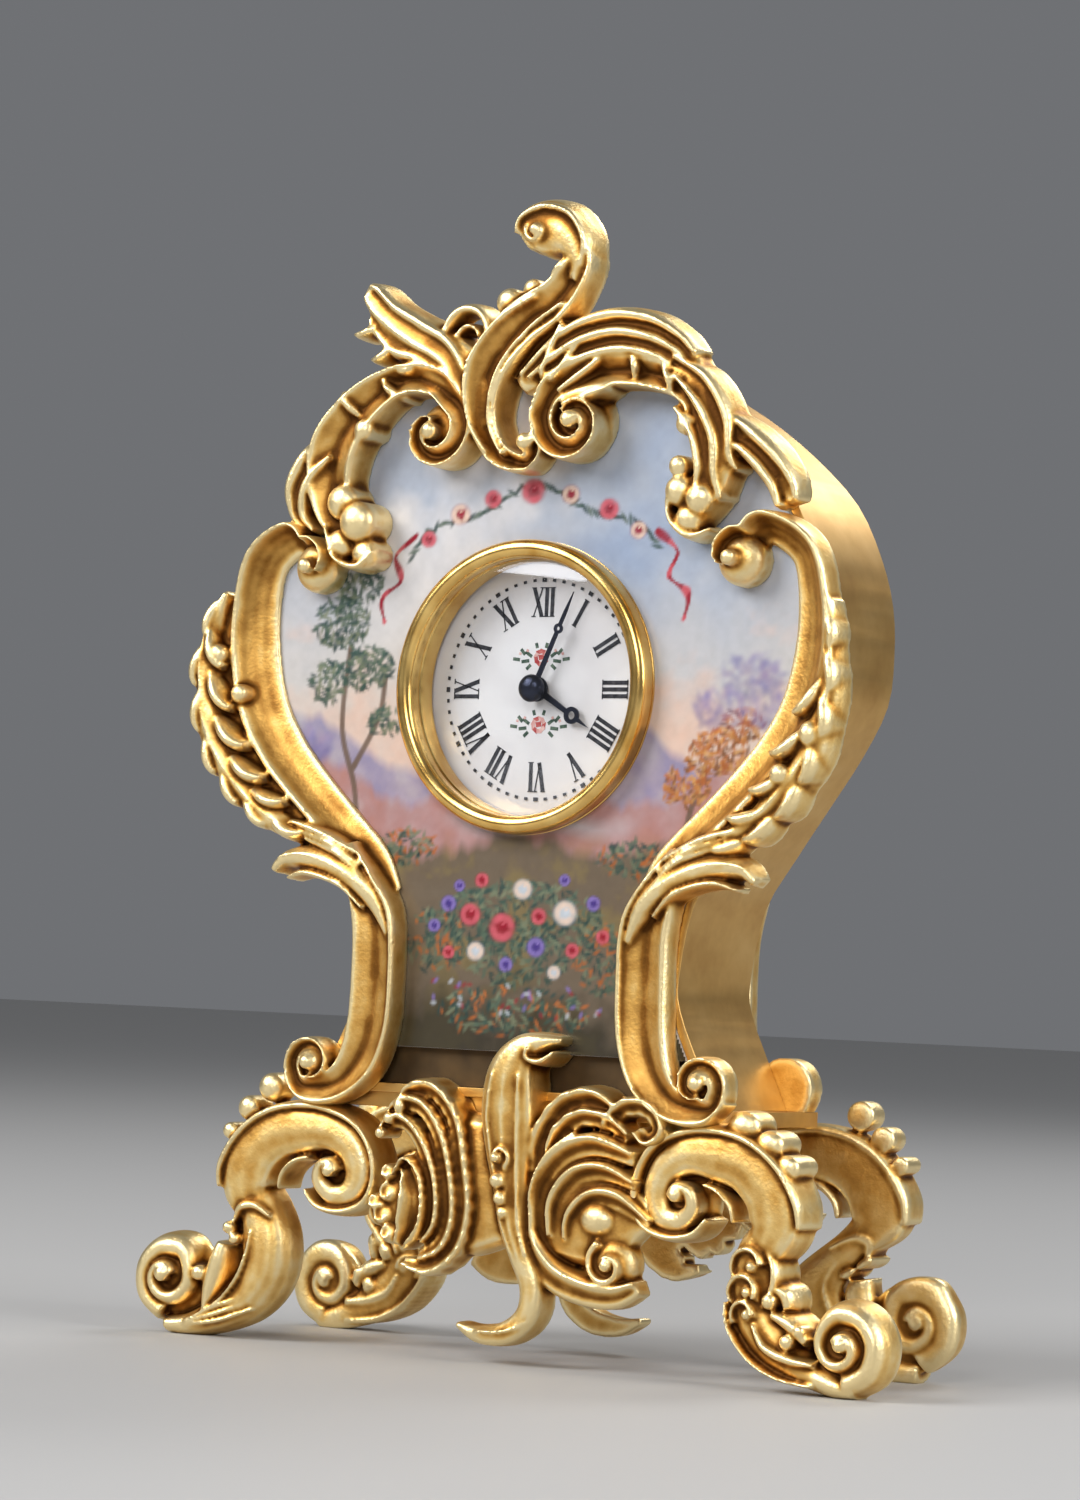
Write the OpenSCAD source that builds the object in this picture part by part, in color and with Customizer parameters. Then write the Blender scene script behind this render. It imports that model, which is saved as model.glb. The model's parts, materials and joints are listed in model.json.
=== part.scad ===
// Miniature mantel clock with a cast and gilded scrollwork case, a painted enamel front and a
// key-wound watch-type movement behind a hinged rear door.
// X runs to the right, Y to the back and Z up. The origin is on the table, below the middle.

/* [Case] */
// Width of the case band at its widest
case_w = 66; // [60:0.5:72]
// Height of the case band above the base plate
case_h = 74.5; // [70:0.5:79]
// Width of the case band at its waist
waist_w = 37; // [34:0.5:42]
// Depth of the case band from front to back
case_depth = 14; // [13.6:0.1:18]
// Thickness of the band's metal
band_t = 0.9; // [0.6:0.1:1.4]
// Thickness of the plate that carries the enamel panel
front_plate_t = 1; // [0.8:0.1:1.2]
// Thickness of the enamelled copper panel
panel_t = 1; // [0.8:0.1:1.2]
// Thickness of the back plate
back_plate_t = 0.8; // [0.6:0.1:1.2]

/* [Castings] */
// Height of the boldest scroll above the case front
relief = 5; // [4:0.1:6]
// Thickness of the cast legs and aprons at their boldest
leg_relief = 5; // [4:0.1:6]
// Outward turn of each leg in degrees
leg_splay = 3; // [0:1:12]
// Distance from the middle of the clock to the outside of a toe
toe_reach = 43.9; // [42:0.1:48]
// Distance that the front legs stand behind the base plate's front edge
leg_set_back = 1.4; // [1:0.1:2]
// Inward bend of the rear legs at their toes
rear_tuck = 4.3; // [3:0.1:5]
// Radius of the cast pearls
pearl_r = 1.2; // [0.9:0.1:1.4]

/* [Base] */
// Height of the top of the base plate above the table
base_h = 25.7; // [24:0.1:28]
// Thickness of the base plate
base_plate_t = 1.5; // [1:0.1:2]
// Width of the base plate
base_plate_w = 50; // [46:0.5:54]
// Depth of the base plate
base_plate_d = 18.5; // [17:0.5:22]
// Distance that the case front stands ahead of the base plate's front edge
case_overhang = 0.8; // [0.4:0.1:1.2]

/* [Dial and bezel] */
// Height of the dial's middle above the base plate
dial_h = 40.3; // [38:0.1:42]
// Outer radius of the bezel
bezel_r = 14.5; // [14:0.1:15.5]
// Height of the bezel's rim above the panel
bezel_rise = 2.3; // [1.6:0.1:3]
// Radius of the dial that shows inside the bezel
dial_sight_r = 12.65; // [12.3:0.05:12.8]
// Radius of the whole dial
dial_r = 13; // [12.9:0.05:13.2]
// Thickness of the enamelled dial
dial_t = 0.4; // [0.3:0.05:0.6]
// Distance of the dial's face behind the panel's face
dial_set_back = 2.2; // [1.3:0.1:2.3]
// Thickness of the watch glass
glass_t = 0.5; // [0.4:0.05:0.6]
// Rise of the glass's dome
glass_dome = 0.9; // [0.5:0.1:1.2]

/* [Hands] */
// Length of the minute hand from the middle
minute_len = 10.4; // [9:0.1:11.2]
// Length of the hour hand from the middle
hour_len = 7.2; // [6:0.1:8]
// Thickness of a hand
hand_t = 0.2; // [0.15:0.05:0.3]
// Angle of the minute hand at rest, clockwise from twelve
minute_angle = 24; // [0:1:359]
// Angle of the hour hand at rest, clockwise from twelve
hour_angle = 122; // [0:1:359]

/* [Movement] */
// Radius of the movement plates
movement_r = 13; // [12.8:0.1:13.5]
// Thickness of each movement plate
plate_t = 1; // [0.8:0.1:1.1]
// Space between the two movement plates
pillar_h = 4.6; // [4.5:0.1:5.2]
// Space between the dial and the front movement plate
motion_gap = 1.7; // [1.6:0.1:2]
// Radius of a pillar
pillar_r = 0.9; // [0.7:0.1:1.1]
// Distance of the pillars from the middle
pillar_circle = 11.6; // [11.4:0.1:11.8]
// Wall of the ring that holds the movement in the case
ring_wall = 0.6; // [0.4:0.1:0.9]
// Radius of a wheel's arbor
arbor_r = 0.3; // [0.25:0.05:0.3]
// Radius of a pivot in a plate
pivot_r = 0.15; // [0.1:0.05:0.2]
// Radius of the hollow centre arbor
centre_r = 0.4; // [0.35:0.05:0.45]
// Radius of the arbor through it that sets the hands
setting_r = 0.2; // [0.15:0.05:0.25]
// Width of the squares that a key fits
square_w = 1; // [0.8:0.1:1]

/* [Wheels] */
// Teeth of the mainspring barrel
barrel_teeth = 72; // [68:1:76]
// Leaves of the centre pinion
centre_leaves = 12; // [11:1:12]
// Teeth of the centre wheel
centre_teeth = 64; // [60:1:66]
// Leaves of the third pinion
third_leaves = 8; // [8:1:9]
// Teeth of the third wheel
third_teeth = 60; // [58:1:62]
// Leaves of the fourth pinion
fourth_leaves = 8; // [8:1:9]
// Teeth of the fourth wheel
fourth_teeth = 60; // [58:1:62]
// Leaves of the escape pinion
escape_leaves = 8; // [8:1:9]
// Teeth of the escape wheel
escape_teeth = 15; // [13:1:15]
// Tip radius of the escape wheel
escape_r = 2.2; // [2:0.05:2.3]
// Teeth of the cannon pinion
cannon_teeth = 12; // [12:1:14]
// Teeth of the minute wheel
minute_teeth = 36; // [34:1:38]
// Leaves of the minute wheel's pinion
minute_leaves = 10; // [10:1:11]
// Teeth of the hour wheel
hour_teeth = 40; // [38:1:42]
// Teeth of the ratchet wheel
ratchet_teeth = 24; // [20:1:28]
// Tip radius of the ratchet wheel
ratchet_r = 2.6; // [2.4:0.1:2.8]

/* [Balance] */
// Radius of the balance wheel
balance_r = 4.6; // [4.2:0.1:4.8]
// Radius of the escapement cylinder
cylinder_r = 0.4; // [0.35:0.05:0.45]
// Turns of the hairspring
hairspring_turns = 7; // [5:1:8]
// Thickness of the balance cock
cock_t = 0.6; // [0.5:0.1:0.7]

/* [Rear door] */
// Radius of the round opening in the back plate
back_opening_r = 12.4; // [12:0.1:12.6]
// Radius of the door
door_r = 13.6; // [13.4:0.1:14]
// Thickness of the door
door_t = 0.8; // [0.6:0.1:1.1]
// Outer radius of the hinge knuckles
knuckle_r = 0.8; // [0.7:0.05:0.9]
// Radius of the hinge pin
hinge_pin_r = 0.35; // [0.3:0.05:0.4]

/* [Hidden] */

gilt = "#c8963c";
brass = "#b8913f";
steel = "#5a5f68";
$fn = 48;

// Clearances and small thicknesses
running = 0.04;
fit_gap = 0.05;
air = 0.15;
wheel_t = 0.35;
pinion_t = 0.6;

// Sizes that the scroll drawings were made at
drawn_case_w = 66;
drawn_case_h = 74.5;
drawn_base_h = 25.7;
drawn_reach = 43.9;
drawn_relief = 5;

// Depths, measured back from the panel's face
front_y = -case_overhang - base_plate_d / 2;
panel_back = panel_t;
plate_back = panel_back + front_plate_t;
dial_back = dial_set_back + dial_t;
motion_front = dial_back + motion_gap;
train_front = motion_front + plate_t;
train_back = train_front + pillar_h;
movement_back = train_back + plate_t;
back_plate_front = case_depth - back_plate_t - door_t;
back_plate_back = case_depth - door_t;
base_front = case_overhang;
base_back = base_front + base_plate_d;
dial_z = base_h + dial_h;

// Half of the case outline as shares of the widest half width and of the height, bottom to top
waist = waist_w / case_w;
half_outline = [[0.70, 0], [0.64, 0.055], [waist + 0.008, 0.125], [waist, 0.17],
    [waist + 0.04, 0.26], [0.70, 0.33], [0.81, 0.40], [0.91, 0.465], [0.985, 0.53], [1, 0.595],
    [0.99, 0.66], [0.945, 0.725], [0.86, 0.795], [0.71, 0.86], [0.54, 0.915], [0.35, 0.96],
    [0.15, 0.99]];
half_points = spline([for (s = half_outline) [case_w / 2 * s[0], base_h + case_h * s[1]]], 3);
case_outline = concat(half_points, [for (i = [len(half_points) - 1:-1:0]) [-half_points[i][0], half_points[i][1]]]);

// Smooth curve through points of any length, with a number of steps in each span
function blend(a, b, c, d, t) = 0.5 * (2 * b + (c - a) * t + (2 * a - 5 * b + 4 * c - d) * t * t
    + (3 * b - a - 3 * c + d) * t * t * t);
function spline(p, steps) = let (n = len(p)) concat(
    [for (i = [0:n - 2], k = [0:steps - 1])
        blend(p[max(i - 1, 0)], p[i], p[i + 1], p[min(i + 2, n - 1)], k / steps)],
    [p[n - 1]]);

// Scroll drawings hold points of [across, up, half width, rise], in millimetres as drawn
case_grow = max(case_w / drawn_case_w, case_h / drawn_case_h);
base_grow = max(toe_reach / drawn_reach, base_h / drawn_base_h);
function on_case(p) = [for (v = p) [v[0] * case_w / drawn_case_w,
    base_h + (v[1] - drawn_base_h) * case_h / drawn_case_h, v[2] * case_grow, v[3] * relief / drawn_relief]];
function on_base(p) = [for (v = p) [v[0] * toe_reach / drawn_reach, v[1] * base_h / drawn_base_h,
    v[2] * base_grow, v[3] * leg_relief / drawn_relief]];

// A curl of points that winds in to a centre, for the end of a scroll
function curl(c, r0, r1, a0, a1, w0, w1, h0, h1, n) = [for (i = [0:n]) let (t = i / n, r = r0 + (r1 - r0) * t,
    a = a0 + (a1 - a0) * t) [c[0] + r * cos(a), c[1] + r * sin(a), w0 + (w1 - w0) * t, h0 + (h1 - h0) * t]];

// Cross-sections of a scroll, from one edge over the front to the other
round_section = [[-1, 0], [-0.8, 0.7], [0, 1], [0.8, 0.7], [1, 0]];
bar_section = [[-1, 0.1], [-0.75, 0.78], [0, 1], [0.75, 0.78], [1, 0.1], [0, -0.3]];
strap_section = [[-1, 0.1], [-0.7, 0.9], [0.7, 0.9], [1, 0.1], [0, -0.3]];
channel_section = [[-1, 0], [-0.85, 1], [0, 0.62], [0.85, 1], [1, 0]];
cove_section = [[-1, 0], [-1, 0.2], [0.05, 0.46], [0.74, 1], [1, 0.72], [1, 0]];
leaf_section = [[-1, 0], [-1, 0.4], [0, 1], [1, 0.4], [1, 0]];

// One scroll bar along a drawn line, standing out to the front from the given depth
module scroll(line, section, back = 0, steps = 4) {
    path = spline(line, steps);
    n = len(path);
    m = len(section);
    points = [for (i = [0:n - 1]) let (
            a = path[max(i - 1, 0)],
            b = path[min(i + 1, n - 1)],
            along = [b[0] - a[0], b[1] - a[1]] / norm([b[0] - a[0], b[1] - a[1]]),
            w = max(path[i][2], 0.15),
            h = max(path[i][3], 0.3))
        for (s = section) [path[i][0] - along[1] * s[0] * w, front_y + back - s[1] * h,
            path[i][1] + along[0] * s[0] * w]];
    sides = [for (i = [0:n - 2], k = [0:m - 1]) let (
            a = i * m + k,
            b = i * m + (k + 1) % m)
        each [[a, b, a + m], [b, b + m, a + m]]];
    polyhedron(points, concat([[for (k = [m - 1:-1:0]) k]], sides, [[for (k = [0:m - 1]) (n - 1) * m + k]]));
}

// A cast pearl or leaf lobe between two drawn points of [across, up, radius, rise]
lobe_taper = 0.5;
lobe_sides = 6;
module lobe(a, b, back = 0) {
    hull() {
        for (v = [a, b]) {
            translate([v[0], front_y + back, v[1]]) rotate([90, 0, 0])
                cylinder(r1 = v[2], r2 = v[2] * lobe_taper, h = v[3], $fn = lobe_sides);
        }
    }
}

// Flat shapes drawn as seen from the front, given a depth and a thickness
module slab(depth, thick) {
    translate([0, front_y + depth + thick, 0]) rotate([90, 0, 0]) linear_extrude(thick) children();
}

// Round bar along the depth
module rod(x, z, r, depth, long) {
    slab(depth, long) translate([x, z]) circle(r);
}

// Base plate, legs and aprons
module base_plate() {
    color(gilt) difference() {
        translate([0, 0, base_h - base_plate_t]) linear_extrude(base_plate_t) difference() {
            translate([-base_plate_w / 2, front_y + base_front]) square([base_plate_w, base_plate_d]);
            for (x = [-1, 1], y = [base_front, base_back])
                translate([x * base_plate_w / 2, front_y + y]) circle(base_corner_r);
        }
        case_screw_holes();
    }
}
base_corner_r = 2.5;

toe_eye = 4.58;
foot_band = concat([[29.2, 12.8, 1.9, 3.2], [30.6, 15.2, 2.9, 3.5], [30, 18.4, 3.1, 3.6], [27.5, 20.8, 3, 3.6],
    [24.2, 21.5, 2.6, 3.6], [21, 21.5, 2.1, 3.6], [18.5, 20.1, 1.8, 3.5]],
    curl([19.9, 17.4], 2.5, 0.8, 172, 490, 1.15, 0.45, 3.4, 4.1, 6));
foot_rim = [[33.6, 15.2, 0.5, 3.4], [33.3, 17.7, 0.75, 3.8], [31.3, 20.8, 0.8, 3.9], [28.2, 23, 0.8, 3.9],
    [24.6, 23.9, 0.8, 3.9], [21, 23.7, 0.8, 3.9], [17.6, 22.4, 0.8, 3.9], [15.7, 20, 0.8, 3.8], [15.2, 17, 0.8, 3.8],
    [16.3, 14.6, 0.8, 3.8], [19, 13.6, 0.75, 3.7], [21.8, 14, 0.6, 3.6], [23.4, 15.6, 0.4, 3.4]];
ankle_left = [[29.8, 15.4, 1.7, 3], [29, 13, 2.6, 3.5], [28.2, 10, 3.1, 3.8], [28.4, 7, 3, 3.8], [30.2, 4.4, 2.6, 3.6],
    [33.2, 2.5, 2, 3.4], [36.8, 1.2, 1.5, 3.2], [40, 1, 1.2, 3]];
ankle_right = [[30.4, 15.2, 1.8, 3], [28.8, 12.8, 2.8, 3.3], [28.2, 9.8, 3, 3.3], [28.8, 6.8, 2.9, 3.3], [31, 4.1, 2.5, 3.3],
    [34.2, 2.3, 1.8, 3.3], [37.6, 1.1, 1.4, 3.2], [40.2, 1, 1.2, 3]];
toe_left = concat(curl([39, 5.6], 3.55, 3.55, -60, 90, 1.35, 1.35, 3.5, 3.5, 5),
    curl([39.1, 5.6], 2.15, 0.7, 150, 465, 0.9, 0.5, 3.6, 4.2, 7));
toe_right = concat(curl([38.7, 4.8], 3.6, 3.6, -60, 90, 1.6, 1.6, 3.4, 3.4, 5),
    curl([38.7, 4.9], 1.9, 0.6, 150, 465, 0.8, 0.45, 3.5, 4.1, 7));
foot_lobes = [[[19.9, 17.2, 3.6, 2.2], [19.9, 17.2, 3.6, 2.2]], [[20, 17.5, 0.9, 4.4], [20.2, 17.6, 0.9, 4.4]]];
left_lobes = [[[38.9, 5.6, 4.6, 2.8], [38.9, 5.6, 4.6, 2.8]], [[39.2, 5.7, 1, toe_eye], [39.4, 5.9, 1, toe_eye]],
    [[28.4, 25.5, pearl_r + 0.3, 3], [28, 23.4, pearl_r, 3]], [[30.9, 23.3, pearl_r, 3], [30.9, 23.2, pearl_r, 3]],
    [[32.9, 20.9, pearl_r - 0.3, 3], [32.8, 20.8, pearl_r - 0.3, 3]], [[34.2, 4.2, 1.4, 3.8], [33, 8.8, 1.2, 3.8]],
    [[31, 12.6, 0.8, 3.8], [28, 13, 0.8, 4]]];
right_lobes = [[[38.7, 4.8, 4.2, 2.8], [38.7, 4.8, 4.2, 2.8]], [[38.8, 4.9, 1, toe_eye], [38.9, 5, 1, toe_eye]],
    [[26.8, 24.4, pearl_r + 0.3, 3.2], [27.2, 24.4, pearl_r + 0.3, 3.2]],
    [[29.8, 22.9, pearl_r + 0.1, 3.2], [30.1, 22.8, pearl_r + 0.1, 3.2]], [[31.9, 20.9, pearl_r, 3], [32, 20.8, pearl_r, 3]],
    [[31, 11.6, 0.9, 3.6], [31.2, 8.4, 1, 3.7]], [[32, 6.8, 1, 3.8], [34.4, 5.2, 0.9, 3.7]]];

// The drawn points of a leg, which bend in towards the toe at the rear
function leg_line(p, rear) = on_base([for (v = p) [v[0] - (rear ? rear_tuck * tuck((tuck_top - v[1]) / tuck_span) : 0),
    v[1], v[2], v[3]]]);
function tuck(t) = let (k = min(max(t, 0), 1)) k * k * (3 - 2 * k);
tuck_top = 15;
tuck_span = 7;
rear_set_back = 0.2;

// One leg on the right of the front, cut flat where it stands
module leg_shape(left, rear) {
    back = base_front + (rear ? rear_set_back : leg_set_back);
    intersection() {
        union() {
            scroll(leg_line(foot_band, rear), bar_section, back, 1);
            scroll(leg_line(foot_rim, rear), round_section, back, 1);
            scroll(leg_line(left ? ankle_left : ankle_right, rear), bar_section, back, 1);
            scroll(leg_line(left ? toe_left : toe_right, rear), strap_section, back, 1);
            for (s = concat(foot_lobes, left ? left_lobes : right_lobes)) {
                ends = leg_line(s, rear);
                lobe(ends[0], ends[1], back);
            }
            translate([lug_x, front_y + base_front - 1, base_h - base_plate_t - lug_t])
                cube([lug_w, lug_d + 1, lug_t]);
        }
        translate([0, front_y - case_w / 2, 0]) cube([case_w, case_w, case_h]);
    }
}
lug_x = 19;
lug_w = 6;
lug_d = 5;
lug_t = 1.6;
module leg_body(left, rear) {
    turned_to_rear(rear) mirror([left ? 1 : 0, 0, 0]) difference() {
        splayed() leg_shape(left != rear, rear);
        translate([0, front_y + base_front, base_h - base_plate_t]) cube([base_plate_w / 2, base_plate_d, case_h]);
    }
}
module leg(left, rear) {
    color(gilt) leg_body(left, rear);
}
module splayed() {
    translate([splay_x, front_y + base_front, 0]) rotate([0, 0, -leg_splay])
        translate([-splay_x, -front_y - base_front, 0]) children();
}
module turned_to_rear(rear) {
    if (rear) {
        translate([0, 2 * (front_y + base_front) + base_plate_d, 0]) mirror([0, 1, 0]) children();
    } else {
        children();
    }
}
splay_x = 16;

drop_leaf = [[6.9, 31.7, 0.4, 3], [5, 31.5, 0.9, 4], [2.9, 30.6, 1.8, 4.4], [1.5, 28.2, 2.8, 4.5], [1.2, 24.6, 3.2, 4.3],
    [1.4, 21, 2.8, 4.1], [1.8, 17.4, 2.2, 3.9], [2.2, 13.8, 1.8, 3.7], [3.2, 10.8, 1.5, 3.5], [4.4, 7.8, 1.4, 3.4],
    [4, 5, 1.35, 3.4], [1.6, 3.2, 1.25, 3.2], [-1.6, 2.8, 0.95, 3], [-4.3, 3.6, 0.4, 2.4]];
left_crescent = [[-13.6, 21.6, 0.6, 3], [-13, 23.2, 0.9, 3.4], [-10.4, 23.6, 1.2, 3.8], [-7.6, 21.6, 1.3, 4],
    [-6.1, 17.6, 1.4, 4], [-5.6, 13.4, 1.4, 4], [-6.8, 10.2, 1.4, 3.8], [-9.3, 9.6, 1.2, 3.6], [-11, 11.8, 1, 3.4],
    [-11.3, 15, 0.8, 3.2]];
left_rib = [[-9.2, 25.1, 0.7, 3.2], [-6, 24.9, 1.2, 3.8], [-4, 21.8, 1.3, 4], [-3, 17, 1.5, 4], [-2.6, 12.6, 1.8, 4],
    [-4, 9.4, 1.4, 3.8], [-7, 8.6, 0.6, 3]];
right_crescent = [[14.2, 21.2, 0.6, 3], [11, 21.8, 1.1, 3.6], [7.8, 20.6, 1.4, 4], [6, 17.2, 1.4, 4],
    [6.2, 13.4, 1.4, 4], [8.2, 10.6, 1.3, 3.8], [11.4, 9.2, 1.1, 3.6], [14, 9.8, 1, 3.6], [14.6, 11.8, 0.8, 3.4],
    [13.2, 12.8, 0.6, 3.2]];
right_rib = [[5, 21.4, 0.8, 3], [6.6, 24.2, 1, 3.6], [9.8, 25.2, 1.2, 3.8], [12.6, 24.3, 1, 3.6], [14.4, 24, 0.8, 3.2]];

// Pierced apron of shell scrolls with a hanging leaf
module apron_shape() {
    union() {
        scroll(on_base(drop_leaf), round_section, base_front, 1);
        scroll(on_base(left_crescent), channel_section, base_front, 1);
        scroll(on_base(left_rib), round_section, base_front, 2);
        scroll(on_base(right_crescent), channel_section, base_front, 1);
        scroll(on_base(right_rib), round_section, base_front, 2);
        scroll(on_base(left_web), round_section, base_front, 1);
        scroll(on_base(right_web), round_section, base_front, 1);
        for (s = shell_lobes) lobe(on_base([s[0]])[0], on_base([s[1]])[0], base_front);
    }
}
left_web = [[-15, 13.4, 1, 1.6], [-10.4, 13.6, 3, 1.8], [-5, 16, 6, 1.8], [1, 17, 4, 1.8]];
right_web = [[1, 17, 4, 1.8], [6, 17.4, 6.4, 1.8], [11.6, 14.6, 4.6, 1.8], [15.4, 15, 1.2, 1.6]];
shell_lobes = [[[-8.6, 15.6, 1.3, 3.2], [-7.8, 12.4, 1.6, 3.4]], [[-9.8, 18.2, 0.9, 3], [-7.4, 18.6, 1, 3.2]],
    [[-12.6, 15.4, 1.1, 3], [-13.6, 13.6, 1.3, 3]], [[9.4, 17.6, 1.2, 3.2], [12.4, 18, 1, 3]],
    [[9.6, 15, 1.3, 3.2], [13.4, 15.2, 1.2, 3]], [[10.4, 12.4, 1.2, 3.2], [12, 12, 1, 3.2]],
    [[1, 19.4, 1, 4.6], [1.1, 18.4, 1, 4.6]], [[1.2, 16.6, 0.8, 4.4], [1.3, 15.8, 0.8, 4.4]]];
module apron(rear) {
    color(gilt) difference() {
        turned_to_rear(rear) mirror([rear ? 1 : 0, 0, 0]) difference() {
            apron_shape();
            translate([-case_w, front_y, base_h]) cube([2 * case_w, base_plate_d, case_h]);
        }
        for (left = [true, false]) leg_body(left, rear);
    }
}

// Case
module case_shape(inset) {
    offset(delta = -inset) polygon(case_outline);
}
module case_band() {
    color(gilt) difference() {
        slab(0, case_depth) difference() {
            polygon(case_outline);
            case_shape(band_t);
        }
        case_screw_holes();
    }
}
module case_sheet(depth, thick, hole_r) {
    slab(depth, thick) difference() {
        case_shape(band_t + fit_gap);
        translate([0, dial_z]) circle(hole_r, $fn = 96);
    }
}
bezel_tube_r = dial_sight_r + 0.7;
panel_hole_r = bezel_tube_r + fit_gap;
module enamel_panel() {
    color("#b9c4cc") difference() {
        case_sheet(0, panel_t, panel_hole_r);
        translate([-case_w / 2, front_y - 1, base_h - 1]) cube([case_w, panel_t + 1 + fit_gap, panel_foot + 1]);
    }
}
// Height above the base plate at which the enamel panel ends
panel_foot = 4.6;
module front_plate() {
    color(gilt) difference() {
        case_sheet(panel_t, front_plate_t, panel_hole_r);
        for (a = ring_screw_angles) arbor(place([0, 0], a, ring_screw_circle), ring_screw_r, 0, case_depth);
    }
}

// Scrolls of the front frame, drawn for the right side
main_scroll = concat(curl([24.6, 78], 1, 2.4, 200, 60, 0.7, 1.1, 4.6, 4.4, 4),
    [[27.6, 81.1, 1.6, 4.2], [31.2, 78.8, 2, 3.4], [32.4, 74, 2.3, 2.8], [32.3, 68.8, 2.4, 2.6], [31, 63.8, 2.4, 2.6],
    [28.4, 59.6, 2.3, 2.6], [24.8, 55.8, 2.1, 2.6], [20.8, 52.2, 1.9, 2.6], [16.8, 48.8, 1.5, 2.4], [14.6, 45.4, 1, 2.2]]);
waist_scroll = concat([[19.8, 48.8, 0.6, 2.2], [17.4, 46.6, 1.9, 2.6], [15.8, 42.4, 2.6, 2.4], [15.6, 37.4, 2.7, 2.2],
    [15.9, 32.6, 2.6, 2.2], [17.2, 28.6, 2.1, 2.4], [19.8, 26.4, 1.5, 2.6]],
    curl([22.4, 28.2], 2.4, 0.9, -70, 250, 1.1, 0.6, 2.8, 3.2, 8));
leaf_left = [[36, 74.2, 0.6, 2.6], [36.9, 70.2, 1.4, 3.2], [37, 65, 1.9, 3.8], [35.6, 60, 2.3, 3.8],
    [32.4, 55.8, 2.1, 3.6], [28.2, 52.6, 1.6, 3.4], [22.8, 50.6, 0.7, 2.6]];
leaf_right = [[34.7, 71.6, 0.5, 2.2], [34.9, 67.6, 1.1, 2.8], [34.4, 63, 1.8, 3.4], [32.9, 59, 2.1, 3.6],
    [30, 55.4, 2, 3.6], [26.2, 52.4, 1.5, 3.2], [21.6, 50.2, 0.6, 2.6]];
tail_leaf = [[13.8, 41.6, 0.8, 2.6], [16, 45, 1.6, 3.2], [19.6, 47.3, 1.5, 3.4], [24, 48.2, 1.1, 3.2], [26.6, 47.4, 0.9, 3],
    [26.4, 46, 0.5, 2.8]];
lobes_left = [[[38, 71.4, 0.8, 3], [36.2, 70, 0.9, 3.4]], [[38.4, 67.2, 0.9, 3.2], [36.4, 66.2, 1, 3.6]],
    [[38, 62.6, 1, 3.4], [36, 61.8, 1, 3.8]], [[36, 57, 1, 3.4], [34.2, 57.8, 1, 3.8]]];
lobes_right = [[[34.7, 58, 0.9, 3.4], [33.6, 59, 1, 3.6]], [[30, 60.2, 0.9, 3.4], [30.4, 59.4, 1, 3.6]],
    [[31.8, 54.6, 0.8, 3.2], [30.6, 55.4, 1, 3.6]], [[28.2, 57.2, 0.8, 3.2], [28.8, 56.6, 0.9, 3.4]]];
frame_lobes = [[[30.6, 65, 0.8, 2.8], [30.2, 64.4, 0.8, 2.8]], [[27.8, 60.2, 0.8, 2.8], [27.2, 59.6, 0.8, 2.8]],
    [[24.4, 78, 1, 4.6], [24.6, 78.2, 1, 4.6]], [[22.4, 28.2, 1, 3.4], [22.6, 28.4, 1, 3.4]]];
module frame_shape(left) {
    scroll(on_case(main_scroll), cove_section, 0, 3);
    scroll(on_case(waist_scroll), channel_section, 0, 2);
    scroll(on_case(left ? leaf_left : leaf_right), leaf_section, 0, 2);
    scroll(on_case(tail_leaf), leaf_section, 0, 2);
    for (s = concat(frame_lobes, left ? lobes_left : lobes_right)) lobe(on_case([s[0]])[0], on_case([s[1]])[0]);
}
module frame_side(left) {
    color(gilt) difference() {
        mirror([left ? 1 : 0, 0, 0]) frame_shape(left);
        crest_shape();
        apron_shape();
        leg_body(left, false);
    }
}

// Scrolls of the crest, which differ from side to side
left_limb = concat([[-20.4, 81.6, 1.8, 3.2], [-22.4, 85.6, 2.6, 3.4], [-21.9, 90, 3, 3.8], [-18.9, 93.8, 2.4, 4],
    [-14.6, 96.2, 1.6, 4], [-10.4, 96, 1.5, 4]], curl([-10.2, 91.2], 3.6, 1, 50, -250, 1.4, 0.6, 4, 4.4, 8));
left_wing = [[-4.4, 91.6, 1.4, 3], [-6.6, 96.4, 3.2, 3.6], [-10.2, 98.8, 3.7, 3.8], [-14.4, 101, 3.3, 3.8],
    [-17.6, 103.6, 2.2, 3.6], [-19.8, 105.8, 0.6, 3]];
left_outer = [[-23.6, 88.8, 0.8, 2.6], [-26.6, 86.6, 1.6, 3.2], [-27.7, 84, 1.4, 3.2], [-26.8, 81.8, 0.5, 2.6]];
shell_arch = [for (i = [0:6]) let (a = 195 - i * 32) [-6.9 + 2.5 * cos(a), 100.6 + 2.5 * sin(a), 0.7, 2.8]];
finial = concat(curl([0.6, 89.8], 0.8, 2, 20, -100, 0.6, 0.9, 3.6, 3.8, 4),
    [[-2.4, 88.8, 1.3, 4], [-4.1, 92.4, 1.6, 4.2], [-3.4, 97.2, 2.3, 4.4], [-0.2, 101, 2.7, 4.2], [3.9, 103, 2.7, 3.9],
    [5.9, 105.6, 2, 3.6], [5.8, 108.4, 1.6, 3.4]]);
right_scroll = concat([[20, 91.4, 0.9, 3], [18, 94.6, 1.4, 3.4], [13.6, 96.1, 1.5, 3.6], [8.8, 96.3, 1.6, 3.8],
    [4.2, 95.2, 1.6, 4]], curl([6, 91.8], 3.5, 1, 160, 460, 1.4, 0.6, 4, 4.4, 8));
right_wing = [[-0.6, 95.6, 1.4, 3], [4, 98.6, 2.6, 3.6], [9.4, 99.6, 2.7, 3.8], [14, 99.2, 2.3, 3.6], [17.4, 98, 1.7, 3.2],
    [19.2, 96.8, 0.6, 2.8]];
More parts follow.
